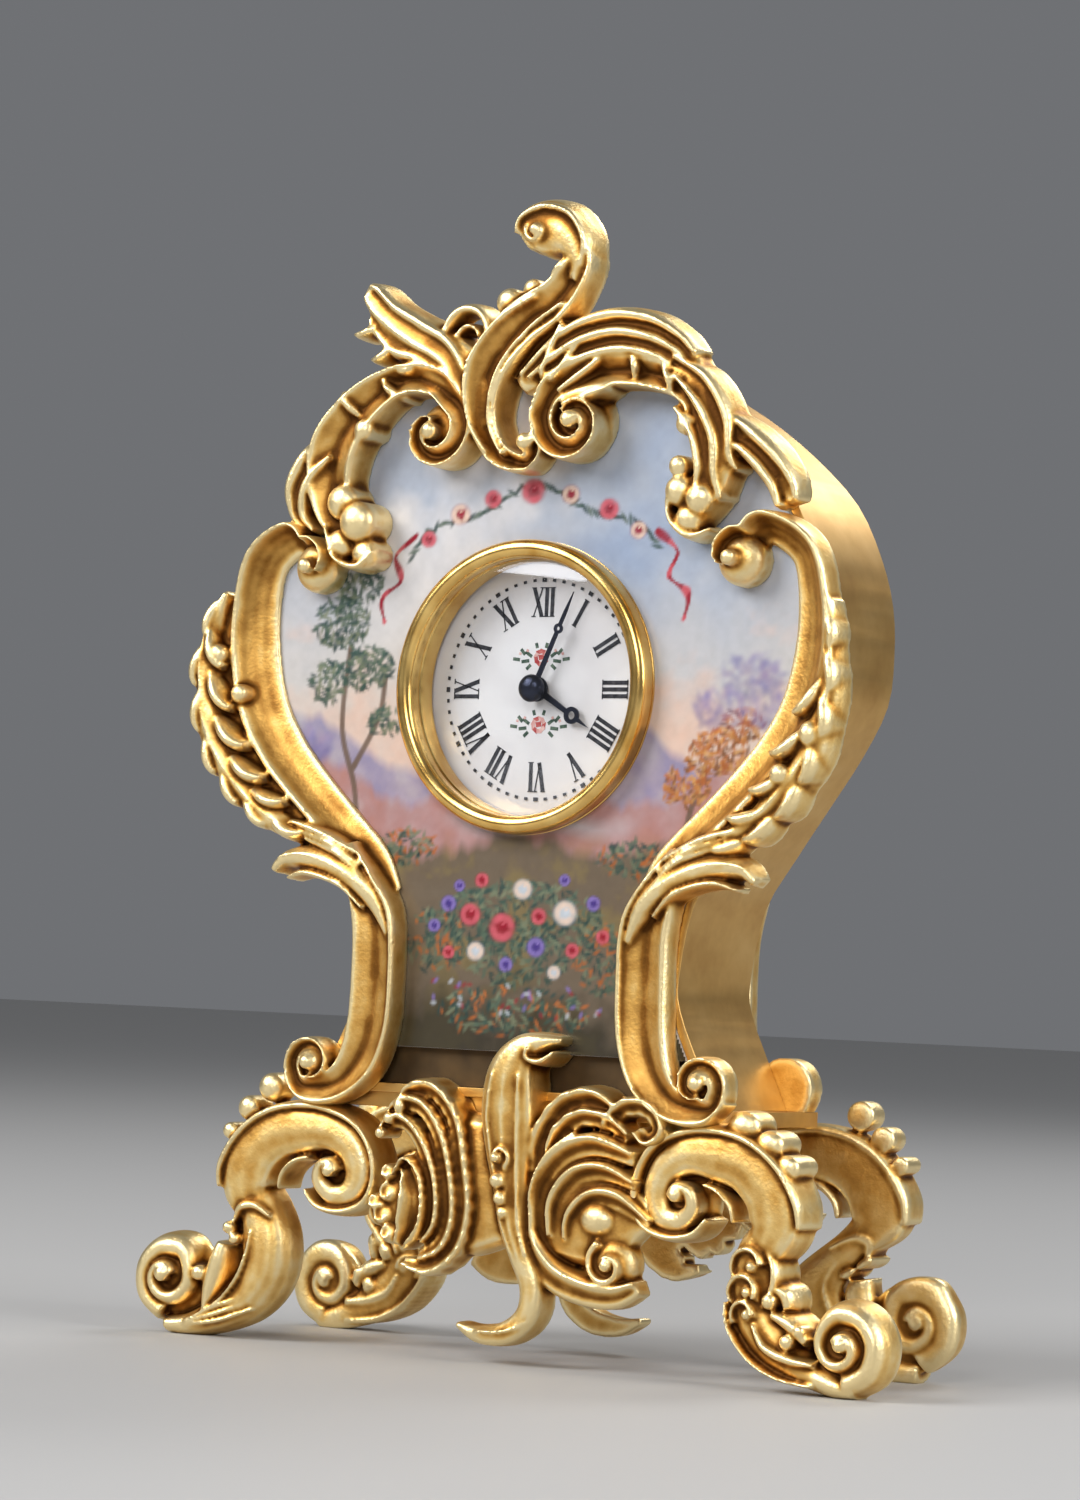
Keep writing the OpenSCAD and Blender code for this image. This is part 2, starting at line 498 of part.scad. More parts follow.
right_limb = [[17.8, 96.6, 1, 3], [20.6, 93.4, 1.8, 3.2], [22, 89.4, 2.3, 3.4], [21.4, 85.6, 2.1, 3.4], [19.6, 82.8, 1.5, 3.2]];
right_outer = [[22.6, 90.4, 0.8, 2.6], [26.4, 88.6, 1.6, 3], [29.4, 86, 1.4, 3], [30.4, 84, 0.5, 2.6]];
crest_lobes = [[[4, 110.7, 3.3, 3.6], [0.6, 111.1, 2.9, 3.6]], [[-1.7, 109.6, 0.9, 3.2], [0.4, 110.4, 1.8, 3.4]],
    [[-19.8, 83.4, 3.1, 4.4], [-19.6, 83, 3, 4.4]], [[-20.4, 79.4, 1.3, 3.2], [-18.6, 79, 1, 3]],
    [[19.2, 84, 2.5, 4], [19, 83.8, 2.5, 4]], [[18.4, 91, 0.8, 3], [20.2, 91.8, 0.9, 3]],
    [[18.6, 87.6, 0.8, 3], [20.2, 88, 0.9, 3.2]], [[-3, 104, 0.9, 2.8], [-2, 102, 0.9, 3]],
    [[0.6, 105, 0.8, 2.6], [0.8, 103.4, 0.9, 2.8]], [[-10.2, 91.2, 1, 4.4], [-10, 91.3, 1, 4.4]],
    [[6, 91.8, 1, 4.4], [6.2, 91.9, 1, 4.4]], [[-18.8, 92.2, 1, 4], [-15.6, 91.6, 1.1, 3.6]]];
module crest_shape() {
    scroll(on_case(left_limb), channel_section, 0, 2);
    scroll(on_case(left_wing), leaf_section, 0, 2);
    scroll(on_case(left_outer), leaf_section, 0, 2);
    scroll(on_case(shell_arch), round_section, 0, 1);
    scroll(on_case(finial), channel_section, 0, 2);
    scroll(on_case(right_scroll), channel_section, 0, 2);
    scroll(on_case(right_wing), leaf_section, 0, 2);
    scroll(on_case(right_limb), leaf_section, 0, 2);
    scroll(on_case(right_outer), leaf_section, 0, 2);
    for (s = crest_lobes) lobe(on_case([s[0]])[0], on_case([s[1]])[0]);
}
module crest() {
    color(gilt) crest_shape();
}

// The same lower scrolls finish the back edge of the case
module back_scroll(left) {
    color(gilt) difference() {
        translate([0, 2 * front_y + case_depth, 0]) mirror([0, 1, 0]) mirror([left ? 1 : 0, 0, 0]) {
            scroll(on_case(waist_scroll), channel_section, 0, 2);
            for (v = on_case([[22.4, 28.2, 1, 3.4]])) lobe(v, v);
        }
        translate([-case_w / 2, front_y, 0]) cube([case_w, 2 * case_depth, base_h]);
    }
}

// Back plate, rear door and hinge
hinge_x = -door_r - knuckle_r;
hinge_depth = back_plate_back + knuckle_r + fit_gap;
knuckle_h = 3;
knuckle_gap = 0.1;
hinge_low = dial_z - 1.5 * knuckle_h - knuckle_gap;
module upright(z, r, h) {
    translate([hinge_x, front_y + hinge_depth, z]) cylinder(r = r, h = h);
}
module back_plate() {
    color(gilt) difference() {
        union() {
            case_sheet(back_plate_front, back_plate_t, back_opening_r);
            for (z = [hinge_low, hinge_low + 2 * (knuckle_h + knuckle_gap)]) {
                upright(z, knuckle_r, knuckle_h);
                translate([hinge_x - knuckle_r, front_y + back_plate_back - fit_gap, z])
                    cube([knuckle_r, knuckle_r + 2 * fit_gap, knuckle_h]);
            }
        }
        upright(hinge_low - 1, hinge_pin_r, 4 * knuckle_h);
    }
}
module rear_door() {
    color(gilt) difference() {
        union() {
            slab(back_plate_back + fit_gap, door_t) translate([0, dial_z]) circle(door_r, $fn = 96);
            slab(back_plate_back + fit_gap + door_t, door_bead) translate([0, dial_z]) difference() {
                circle(door_r - door_bead, $fn = 96);
                circle(door_r - 3 * door_bead, $fn = 96);
            }
            slab(back_plate_back + fit_gap, door_t) translate([hinge_x, dial_z - knuckle_h / 2])
                square([knuckle_r + 2, knuckle_h]);
            upright(dial_z - knuckle_h / 2, knuckle_r, knuckle_h);
            slab(back_plate_back + fit_gap, door_t) translate([door_r - 1, dial_z - thumb_w / 2])
                square([1 + thumb_reach, thumb_w]);
        }
        upright(hinge_low, hinge_pin_r + running, 4 * knuckle_h);
    }
}
door_bead = 0.4;
thumb_w = 3;
thumb_reach = 1;
module door_hinge_pin() {
    color(steel) upright(hinge_low - pin_end, hinge_pin_r, 3 * knuckle_h + 2 * knuckle_gap + 2 * pin_end);
}
pin_end = 0.3;

// Screws that hold the case on the base plate, put in from below
module upright_rods(r, low, high) {
    for (x = [-1, 1]) translate([x * case_screw_x, front_y + case_depth / 2, low]) cylinder(r = r, h = high - low);
}
case_screw_x = 12;
screw_r = 0.8;
screw_head_r = 1.6;
screw_head_t = 0.8;
screw_end = 1;
module case_screw_holes() {
    upright_rods(screw_r + fit_gap, base_h - base_plate_t - 1, base_h + band_t + 1);
}
module case_screws() {
    color(brass) {
        upright_rods(screw_r, base_h - base_plate_t - 0.1, base_h + band_t + screw_end);
        upright_rods(screw_head_r, base_h - base_plate_t - screw_head_t, base_h - base_plate_t);
    }
}

// Round parts of the dial are turned about the dial's middle
module turned() {
    translate([0, front_y, dial_z]) rotate([90, 0, 0]) rotate_extrude($fn = 96) children();
}
glass_back = 0.2;
glass_r = dial_sight_r + 0.3;
bezel_crown = (bezel_r - dial_sight_r) / 2;
bezel_tube_l = min(dial_set_back, plate_back - fit_gap);
module bezel() {
    color(gilt) turned() difference() {
        union() {
            intersection() {
                translate([dial_sight_r + bezel_crown, bezel_rise - bezel_crown]) circle(bezel_crown);
                translate([dial_sight_r, 0]) square([2 * bezel_crown, bezel_rise]);
            }
            translate([dial_sight_r, 0]) square([2 * bezel_crown, max(bezel_rise - bezel_crown, 0.1)]);
            translate([dial_sight_r, -bezel_tube_l]) square([bezel_tube_r - dial_sight_r, bezel_tube_l + 0.1]);
        }
        translate([dial_sight_r - 1, glass_back]) square([glass_r + fit_gap - dial_sight_r + 1, glass_t + fit_gap]);
    }
}
glass_bow = (glass_r * glass_r + glass_dome * glass_dome) / (2 * glass_dome);
module crystal() {
    color([0.85, 0.9, 0.92, 0.35]) turned() difference() {
        intersection() {
            translate([0, glass_back + glass_t + glass_dome - glass_bow]) circle(glass_bow, $fn = 360);
            translate([0, glass_back]) square([glass_r, glass_dome + glass_t]);
        }
        translate([0, glass_back + glass_dome - glass_bow]) circle(glass_bow, $fn = 360);
    }
}

// Dial
pipe_wall = 0.25;
cannon_pipe_r = setting_r + pipe_wall;
hour_pipe_in = cannon_pipe_r + running;
hour_pipe_r = hour_pipe_in + pipe_wall;
dial_hole_r = hour_pipe_r + air;
foot_r = 0.3;
foot_x = 9;
module dial() {
    color("#f1efe6") {
        slab(dial_set_back, dial_t) translate([0, dial_z]) difference() {
            circle(dial_r, $fn = 96);
            circle(dial_hole_r);
        }
        for (x = [-foot_x, foot_x]) rod(x, dial_z - foot_drop, foot_r, dial_back, motion_gap + plate_t / 2);
    }
}
foot_drop = 4;

// Hands
hour_hand_depth = dial_set_back - 0.5 - hand_t;
minute_hand_depth = hour_hand_depth - 0.45 - hand_t;
hub_r = 1.25;
module pointer(depth, angle, bore, long, wide, eye_at, eye_r, eye_hole) {
    difference() {
        union() {
            hand_slab(depth, angle) circle(hub_r);
            hand_slab(depth, angle) polygon([[-wide, 0], [-wide * 0.6, long * 0.8], [0, long],
                [wide * 0.6, long * 0.8], [wide, 0]]);
            hand_slab(depth, angle) translate([0, eye_at * long]) circle(eye_r);
        }
        rod(0, dial_z, bore, depth - 1, 3);
        slab(depth - 1, 3) translate([0, dial_z]) rotate(-angle)
            translate([0, eye_at * long]) circle(eye_hole);
    }
}
module hand_slab(depth, angle) {
    slab(depth, hand_t) translate([0, dial_z]) rotate(-angle) children();
}
module hour_hand() {
    color(steel) pointer(hour_hand_depth, hour_angle, hour_pipe_r, hour_len, 0.35, 0.68, 0.85, 0.4);
}
module minute_hand() {
    color(steel) pointer(minute_hand_depth, minute_angle, cannon_pipe_r, minute_len, 0.28, 0.62, 0.5, 0.2);
}
nut_h = 0.5;
module hand_nut() {
    color(steel) translate([0, front_y + minute_hand_depth, dial_z]) rotate([90, 0, 0]) {
        cylinder(r1 = hub_r, r2 = hub_r * 0.6, h = nut_h);
    }
}

// A toothed wheel as seen from the front, with a tooth pointing at the given angle
tooth_shape = [[-0.36, -1.15], [-0.12, 0.8], [0.12, 0.8], [0.36, -1.15]];
module wheel_teeth(n, m, first) {
    polygon([for (k = [0:n - 1], c = tooth_shape)
        let (a = first + (k + c[0]) * 360 / n, r = n * m / 2 + c[1] * m) [r * cos(a), r * sin(a)]]);
}
// Angle of a follower's tooth that meshes with a wheel whose tooth points at the given angle
function meshing(line, first, n1, n2) = line + 180 - (first - line) * n1 / n2 - 180 / n2;
// Crossed wheel with a round middle
module crossed_wheel(n, m, first, arms, hub) {
    rim = n * m / 2 - 1.15 * m - 0.4;
    difference() {
        wheel_teeth(n, m, first);
        difference() {
            circle(rim);
            circle(hub);
            for (k = [0:arms - 1]) rotate(first + k * 360 / arms) translate([0, -0.25]) square([rim + 0.1, 0.5]);
        }
    }
}

// Motion work under the dial
cannon_m = 0.14;
motion_distance = cannon_m * (cannon_teeth + minute_teeth) / 2;
hour_m = 2 * motion_distance / (minute_leaves + hour_teeth);
minute_line = 120;
minute_x = motion_distance * cos(minute_line);
minute_z = motion_distance * sin(minute_line);
hour_level = dial_back + 0.2;
hour_wheel_t = 0.35;
cannon_level = motion_front - 0.15 - pinion_t;
minute_level = cannon_level + 0.12;
module hour_wheel() {
    color(brass) difference() {
        union() {
            slab(hour_level, hour_wheel_t) translate([0, dial_z]) wheel_teeth(hour_teeth, hour_m, hour_first);
            rod(0, dial_z, hour_pipe_r, hour_hand_depth, hour_level - hour_hand_depth + 0.1);
        }
        rod(0, dial_z, hour_pipe_in, hour_hand_depth - 1, hour_level + 2);
    }
}
cannon_first = 0;
minute_first = meshing(minute_line, cannon_first, cannon_teeth, minute_teeth);
hour_first = meshing(minute_line + 180, minute_first, minute_leaves, hour_teeth);
module cannon_pinion() {
    color(steel) difference() {
        union() {
            slab(cannon_level, pinion_t) translate([0, dial_z]) wheel_teeth(cannon_teeth, cannon_m, cannon_first);
            rod(0, dial_z, cannon_pipe_r, minute_hand_depth, cannon_level - minute_hand_depth + 0.1);
        }
        rod(0, dial_z, setting_r, minute_hand_depth - 1, cannon_level + 2);
    }
}
// Arbor that passes through the centre wheel and turns the hands when they are set from the back
module setting_arbor() {
    color(steel) {
        arbor([0, 0], setting_r, minute_hand_depth, movement_back + key_gap + 0.1);
        at_place([0, 0], movement_back + key_gap, square_end - movement_back - key_gap)
            square(setting_square_w, center = true);
    }
}
key_gap = 0.15;
setting_square_w = 0.8 * square_w;
square_end = back_plate_back - 0.5;
module minute_wheel() {
    color(brass) difference() {
        union() {
            slab(minute_level, wheel_t) translate([minute_x, dial_z + minute_z])
                wheel_teeth(minute_teeth, cannon_m, minute_first);
            slab(dial_back + air, minute_level - dial_back - air + 0.1) translate([minute_x, dial_z + minute_z])
                wheel_teeth(minute_leaves, hour_m, minute_first);
        }
        rod(minute_x, dial_z + minute_z, stud_r + running, dial_back, motion_gap + 1);
    }
}
stud_r = 0.25;
module minute_stud() {
    color(steel) rod(minute_x, dial_z + minute_z, stud_r, dial_back + 0.1, motion_gap - 0.1 + plate_t * 0.6);
}

// Places of the train's wheels around the middle of the movement
barrel_m = 0.13;
centre_m = 0.12;
third_m = 0.11;
fourth_m = 0.1;
function place(from, line, distance) = [from[0] + distance * cos(line), from[1] + distance * sin(line)];
barrel_line = 200;
third_line = 330;
fourth_line = 60;
escape_line = 100;
staff_line = 150;
barrel_at = place([0, 0], barrel_line, barrel_m * (barrel_teeth + centre_leaves) / 2);
third_at = place([0, 0], third_line, centre_m * (centre_teeth + third_leaves) / 2);
fourth_at = place(third_at, fourth_line, third_m * (third_teeth + fourth_leaves) / 2);
escape_at = place(fourth_at, escape_line, fourth_m * (fourth_teeth + escape_leaves) / 2);
staff_at = place(escape_at, staff_line, escape_r + cylinder_r + air);
centre_first = meshing(barrel_line + 180, 0, barrel_teeth, centre_leaves);
third_first = meshing(third_line, centre_first, centre_teeth, third_leaves);
fourth_first = meshing(fourth_line, third_first, third_teeth, fourth_leaves);
escape_first = meshing(escape_line, fourth_first, fourth_teeth, escape_leaves);

// Levels of the train, measured back from the front movement plate
third_level = train_front + 0.15;
barrel_level = train_front + 0.8;
fourth_level = train_front + 2;
escape_level = train_front + 3.1;
centre_level = train_back - 0.75;
barrel_h = 2.6;

module arbor(at, r, from, to) {
    rod(at[0], dial_z + at[1], r, from, to - from);
}
module pivoted(at) {
    arbor(at, arbor_r, train_front + 0.05, train_back - 0.05);
    arbor(at, pivot_r, motion_front + 0.1, movement_back - 0.1);
}
module at_place(at, level, thick) {
    slab(level, thick) translate([at[0], dial_z + at[1]]) children();
}
module centre_wheel() {
    color(brass) difference() {
        union() {
            at_place([0, 0], centre_level, wheel_t) crossed_wheel(centre_teeth, centre_m, centre_first, 4, 1);
            at_place([0, 0], barrel_level - air, wheel_t + 3 * air) wheel_teeth(centre_leaves, barrel_m, centre_first);
            arbor([0, 0], centre_r, motion_front - 0.1, movement_back);
        }
        arbor([0, 0], setting_r + running, 0, case_depth);
    }
}
module third_wheel() {
    color(brass) {
        at_place(third_at, third_level, wheel_t) crossed_wheel(third_teeth, third_m, third_first, 4, 0.8);
        at_place(third_at, centre_level - 0.1, wheel_t + 0.2) wheel_teeth(third_leaves, centre_m, third_first);
        pivoted(third_at);
    }
}
module fourth_wheel() {
    color(brass) {
        at_place(fourth_at, fourth_level, wheel_t) crossed_wheel(fourth_teeth, fourth_m, fourth_first, 4, 0.8);
        at_place(fourth_at, third_level - 0.05, wheel_t + 0.15) wheel_teeth(fourth_leaves, third_m, fourth_first);
        pivoted(fourth_at);
    }
}
module escape_wheel() {
    color(steel) {
        at_place(escape_at, escape_level, wheel_t) difference() {
            polygon([for (k = [0:escape_teeth - 1], c = [[0.1, -0.45], [0.6, -0.45], [1, 0]])
                let (a = escape_first + (k + c[0]) * 360 / escape_teeth, r = escape_r + c[1]) [r * cos(a), r * sin(a)]]);
            difference() {
                circle(escape_r - 0.8);
                circle(0.6);
                for (k = [0:2]) rotate(k * 120) translate([0, -0.15]) square([escape_r, 0.3]);
            }
        }
        at_place(escape_at, fourth_level - 0.1, wheel_t + 0.2) wheel_teeth(escape_leaves, fourth_m, escape_first);
        pivoted(escape_at);
    }
}

// Going barrel, its spring, its arbor and the ratchet
barrel_arbor_r = 0.7;
barrel_wall = 0.3;
drum_r = barrel_m * barrel_teeth / 2 - 1.2 * barrel_m;
module barrel() {
    color(brass) difference() {
        union() {
            at_place(barrel_at, barrel_level, wheel_t) wheel_teeth(barrel_teeth, barrel_m, 0);
            at_place(barrel_at, barrel_level, barrel_h) circle(drum_r);
        }
        arbor(barrel_at, drum_r - barrel_wall, barrel_level + barrel_wall, barrel_level + barrel_h - barrel_wall);
        arbor(barrel_at, barrel_arbor_r + running, train_front, train_back);
    }
}
spring_turns = 6;
spring_t = 0.18;
module mainspring() {
    color(steel) at_place(barrel_at, barrel_level + barrel_wall + 0.1, barrel_h - 2 * barrel_wall - 0.2)
        polygon(concat([for (k = [0:spring_turns * 18]) spring_point(k, 0)],
            [for (k = [spring_turns * 18:-1:0]) spring_point(k, spring_t)]));
}
spring_in = barrel_arbor_r + 0.3;
spring_out = drum_r - barrel_wall - 0.1 - spring_t;
function spring_point(k, add) = let (r = spring_in + (spring_out - spring_in) * k / spring_turns / 18 + add)
    [r * cos(k * 20), r * sin(k * 20)];
ratchet_level = movement_back + 0.15;
ratchet_t = 0.4;
module barrel_arbor() {
    color(steel) {
        arbor(barrel_at, barrel_arbor_r, train_front + 0.1, ratchet_level);
        arbor(barrel_at, barrel_pivot_r, motion_front + 0.1, train_front + 0.2);
        at_place(barrel_at, ratchet_level - 0.05, square_end - ratchet_level) rotate(click_line)
            square(square_w, center = true);
    }
}
barrel_pivot_r = 0.4;

ratchet_root = ratchet_r - 0.4;
module ratchet_wheel() {
    color(steel) at_place(barrel_at, ratchet_level, ratchet_t) rotate(click_line) difference() {
        polygon([for (k = [0:ratchet_teeth - 1], c = [0, 1]) let (a = (k + c) * 360 / ratchet_teeth,
            r = c == 0 ? ratchet_root : ratchet_r) [r * cos(a), r * sin(a)]]);
        square(square_w, center = true);
    }
}
click_line = 215;
click_pivot = [ratchet_r + 0.55, 2.3];
click_r = 0.6;
module click() {
    color(steel) difference() {
        union() {
            click_slab() polygon([[ratchet_root + 0.15, 0.1], [ratchet_r + 0.12, 0.45], [ratchet_r + 0.2, 1.2],
                [click_pivot[0] - click_r + 0.05, click_pivot[1]], [click_pivot[0] + click_r - 0.05, click_pivot[1]],
                [ratchet_r + 0.7, 0.6], [ratchet_r + 0.2, 0.1]]);
            click_slab() translate(click_pivot) circle(click_r);
        }
        arbor(click_at, click_bore, train_back, back_plate_front);
    }
}
module click_slab() {
    at_place(barrel_at, ratchet_level, ratchet_t) rotate(click_line) children();
}
click_screw_r = 0.25;
click_bore = click_screw_r + running;
function turned_by(p, a) = [p[0] * cos(a) - p[1] * sin(a), p[0] * sin(a) + p[1] * cos(a)];
click_at = barrel_at + turned_by(click_pivot, click_line);
module click_screw() {
    color(steel) {
        arbor(click_at, click_screw_r, train_back + 0.2, ratchet_level + ratchet_t + 0.1);
        arbor(click_at, click_r, ratchet_level + ratchet_t + 0.05, ratchet_level + ratchet_t + 0.3);
    }
}

// Balance, hairspring and cock behind the back movement plate
balance_level = movement_back + 0.35;
balance_rim = 0.55;
spring_level = balance_level + wheel_t + 0.2;
cock_level = spring_level + 0.35;
module balance() {
    color(brass) {
        at_place(staff_at, balance_level, wheel_t) difference() {
            circle(balance_r, $fn = 72);
            difference() {
                circle(balance_r - balance_rim, $fn = 72);
                circle(0.8);
                for (k = [0:2]) rotate(k * 120) translate([0, -0.22]) square([balance_r, 0.44]);
            }
        }
        arbor(staff_at, cylinder_r, train_front + 0.05, cock_level - 0.05);
        arbor(staff_at, pivot_r, motion_front + 0.1, cock_level + cock_t - 0.1);
    }
}
hairspring_in = cylinder_r + fit_gap;
hairspring_out = 2.3;
hairspring_steps = hairspring_turns * 18;
function hairspring_point(k, add) = let (r = hairspring_in + (hairspring_out - hairspring_in) * k / hairspring_steps + add)
    [r * cos(k * 20), r * sin(k * 20)];
module hairspring() {
    color(steel) at_place(staff_at, spring_level, 0.15) polygon(concat(
        [for (k = [0:hairspring_steps]) hairspring_point(k, 0)],
        [for (k = [hairspring_steps:-1:0]) hairspring_point(k, 0.08)]));
}
cock_line = 157;
cock_reach = balance_r + 2.4;
cock_arm_w = 1.6;
cock_foot = place(staff_at, cock_line, cock_reach);
cock_foot_r = 1.8;
cock_table_r = 1.5;
module balance_cock() {
    color(brass) difference() {
        union() {
            at_place(staff_at, cock_level, cock_t) circle(cock_table_r);
            at_place(staff_at, cock_level, cock_t) rotate(cock_line) translate([0, -cock_arm_w / 2])
                square([cock_reach, cock_arm_w]);
            arbor(cock_foot, cock_foot_r, movement_back, cock_level + cock_t);
        }
        arbor(staff_at, pivot_r + running, cock_level - 1, cock_level + 2);
        arbor(cock_foot, cock_screw_r, movement_back - 1, cock_level + 2);
    }
}
cock_screw_r = 0.5;
module cock_screw() {
    color(steel) {
        arbor(cock_foot, cock_screw_r, train_back + 0.2, cock_level + cock_t);
        arbor(cock_foot, cock_screw_r + 0.4, cock_level + cock_t, cock_level + cock_t + 0.25);
    }
}

// Movement plates, pillars, screws and the ring that holds the movement
pillar_angles = [10, 128, 200, 290];
function pillar_at(a) = place([0, 0], a, pillar_circle);
plate_screw_r = 0.4;
module movement_plate(depth, holes) {
    color(brass) at_place([0, 0], depth, plate_t) difference() {
        circle(movement_r, $fn = 96);
        for (h = holes) translate(h[0]) circle(h[1]);
        for (a = pillar_angles) translate(pillar_at(a)) circle(plate_screw_r);
    }
}
pivot_hole = pivot_r + running;
module movement_front_plate() {
    movement_plate(motion_front, [[[0, 0], centre_r + running], [barrel_at, barrel_pivot_r + running],
        [third_at, pivot_hole], [fourth_at, pivot_hole], [escape_at, pivot_hole], [staff_at, pivot_hole],
        [[minute_x, minute_z], stud_r], [[-foot_x, -foot_drop], foot_r], [[foot_x, -foot_drop], foot_r]]);
}
module movement_back_plate() {
    movement_plate(train_back, [[[0, 0], centre_r + running], [barrel_at, barrel_arbor_r + running],
        [third_at, pivot_hole], [fourth_at, pivot_hole], [escape_at, pivot_hole], [staff_at, cylinder_r + air],
        [click_at, click_screw_r], [cock_foot, cock_screw_r]]);
}
module pillars() {
    color(brass) for (a = pillar_angles) {
        arbor(pillar_at(a), pillar_r, train_front, train_back);
    }
}
module plate_screws() {
    color(steel) for (a = pillar_angles) {
        arbor(pillar_at(a), plate_screw_r, train_back, movement_back);
        arbor(pillar_at(a), plate_screw_r + 0.35, movement_back, movement_back + 0.25);
        arbor(pillar_at(a), plate_screw_r, motion_front, train_front);
    }
}
ring_in = movement_r + fit_gap;
ring_flange_r = ring_in + ring_wall + 3;
ring_flange_t = 0.7;
ring_screw_circle = ring_in + ring_wall + 1.5;
ring_screw_angles = [90, 210, 330];
ring_screw_r = 0.5;
module movement_ring() {
    color(brass) difference() {
        union() {
            at_place([0, 0], plate_back, movement_back - plate_back) circle(ring_in + ring_wall, $fn = 96);
            at_place([0, 0], plate_back, ring_flange_t) circle(ring_flange_r, $fn = 96);
        }
        at_place([0, 0], plate_back - 1, case_depth) circle(ring_in, $fn = 96);
        for (a = ring_screw_angles) arbor(place([0, 0], a, ring_screw_circle), ring_screw_r, 0, case_depth);
    }
}
module ring_screws() {
    color(steel) for (a = ring_screw_angles) {
        arbor(place([0, 0], a, ring_screw_circle), ring_screw_r, panel_back, plate_back + ring_flange_t);
        arbor(place([0, 0], a, ring_screw_circle), ring_screw_r + 0.5, plate_back + ring_flange_t, plate_back + ring_flange_t + 0.5);
    }
}

base_plate();
apron(false);  // front_apron
apron(true);  // rear_apron
leg(true, false);  // leg_front_left
leg(false, false);  // leg_front_right
leg(true, true);  // leg_rear_left
leg(false, true);  // leg_rear_right
case_band();
front_plate();
enamel_panel();
frame_side(true);  // frame_left
frame_side(false);  // frame_right
crest();
back_scroll(true);  // back_scroll_left
back_scroll(false);  // back_scroll_right
back_plate();
rear_door();
door_hinge_pin();
bezel();
crystal();
dial();
hour_hand();
minute_hand();
hand_nut();
hour_wheel();
cannon_pinion();
setting_arbor();
minute_wheel();
minute_stud();
movement_ring();
ring_screws();
movement_front_plate();
movement_back_plate();
pillars();
plate_screws();
barrel();
mainspring();
barrel_arbor();
ratchet_wheel();
click();
click_screw();
centre_wheel();
third_wheel();
fourth_wheel();
escape_wheel();
balance();
hairspring();
balance_cock();
cock_screw();
case_screws();
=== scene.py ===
"""Looks of the miniature clock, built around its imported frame.

Metres, +Z up, +X to the right of the dial, +Y from the dial to the back.
"""
import json
import math

import bmesh
import bpy
import numpy as np
from mathutils import Matrix, Vector
from mathutils.bvhtree import BVHTree


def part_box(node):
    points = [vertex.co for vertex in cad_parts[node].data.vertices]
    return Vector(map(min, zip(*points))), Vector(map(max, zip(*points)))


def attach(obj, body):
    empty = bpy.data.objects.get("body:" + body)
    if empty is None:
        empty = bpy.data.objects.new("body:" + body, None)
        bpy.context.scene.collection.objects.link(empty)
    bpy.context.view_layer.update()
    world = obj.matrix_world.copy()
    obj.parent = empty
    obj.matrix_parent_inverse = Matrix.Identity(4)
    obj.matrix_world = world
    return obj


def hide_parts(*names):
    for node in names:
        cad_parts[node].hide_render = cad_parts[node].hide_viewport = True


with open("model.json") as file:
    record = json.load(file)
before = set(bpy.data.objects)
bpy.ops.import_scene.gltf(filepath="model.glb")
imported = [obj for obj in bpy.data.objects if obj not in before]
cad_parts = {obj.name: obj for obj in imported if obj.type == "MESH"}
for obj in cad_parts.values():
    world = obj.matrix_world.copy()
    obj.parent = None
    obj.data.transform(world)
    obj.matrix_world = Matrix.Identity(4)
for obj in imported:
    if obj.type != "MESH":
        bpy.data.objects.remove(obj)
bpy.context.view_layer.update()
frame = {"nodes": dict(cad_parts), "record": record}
scene = bpy.context.scene
scene.view_settings.view_transform = "Standard"

# Camera. The photograph was taken from 32 degrees to the right of the dial's normal, a little above
# the table, with a long lens that was slightly turned.
CAMERA_TURN = math.radians(32.45)
CAMERA_DROP = math.radians(3.13)
CAMERA_ROLL = math.radians(2.46)
CAMERA_DISTANCE = 0.42035
CAMERA_AIM = Vector((0.0017, -0.01005, 0.05988))
LENS_MM = 103.12
camera = bpy.data.objects.new("camera", bpy.data.cameras.new("camera"))
camera.data.sensor_fit = "VERTICAL"
camera.data.sensor_height = 36.0
camera.data.lens = LENS_MM
camera.data.clip_start = 0.01
sight = Vector((math.sin(CAMERA_TURN) * math.cos(CAMERA_DROP), -math.cos(CAMERA_TURN) * math.cos(CAMERA_DROP),
                -math.sin(CAMERA_DROP)))
camera.matrix_world = (Matrix.Translation(CAMERA_AIM + CAMERA_DISTANCE * sight)
                       @ sight.to_track_quat("Z", "Y").to_matrix().to_4x4()
                       @ Matrix.Rotation(CAMERA_ROLL, 4, "Z"))
scene.collection.objects.link(camera)
scene.camera = camera

# Floor and light. A plain pale table under plain soft studio lamps.
bpy.ops.mesh.primitive_plane_add(size=6)
floor = bpy.context.object
floor.name = "floor"


def put(tree, kind, values=None, feeds=None, operation=None):
    """Add a shader node, set its inputs by name and feed others from given outputs."""
    made = tree.nodes.new("ShaderNode" + kind)
    if operation:
        made.operation = operation
    for name, value in (values or {}).items():
        made.inputs[name].default_value = value
    for name, socket in (feeds or {}).items():
        tree.links.new(socket, made.inputs[name])
    return made


def new_material(name, values):
    """A material with its shader's inputs set, and its node tree."""
    made = bpy.data.materials.new(name)
    made.use_nodes = True
    for socket, value in values.items():
        made.node_tree.nodes["Principled BSDF"].inputs[socket].default_value = value
    return made, made.node_tree


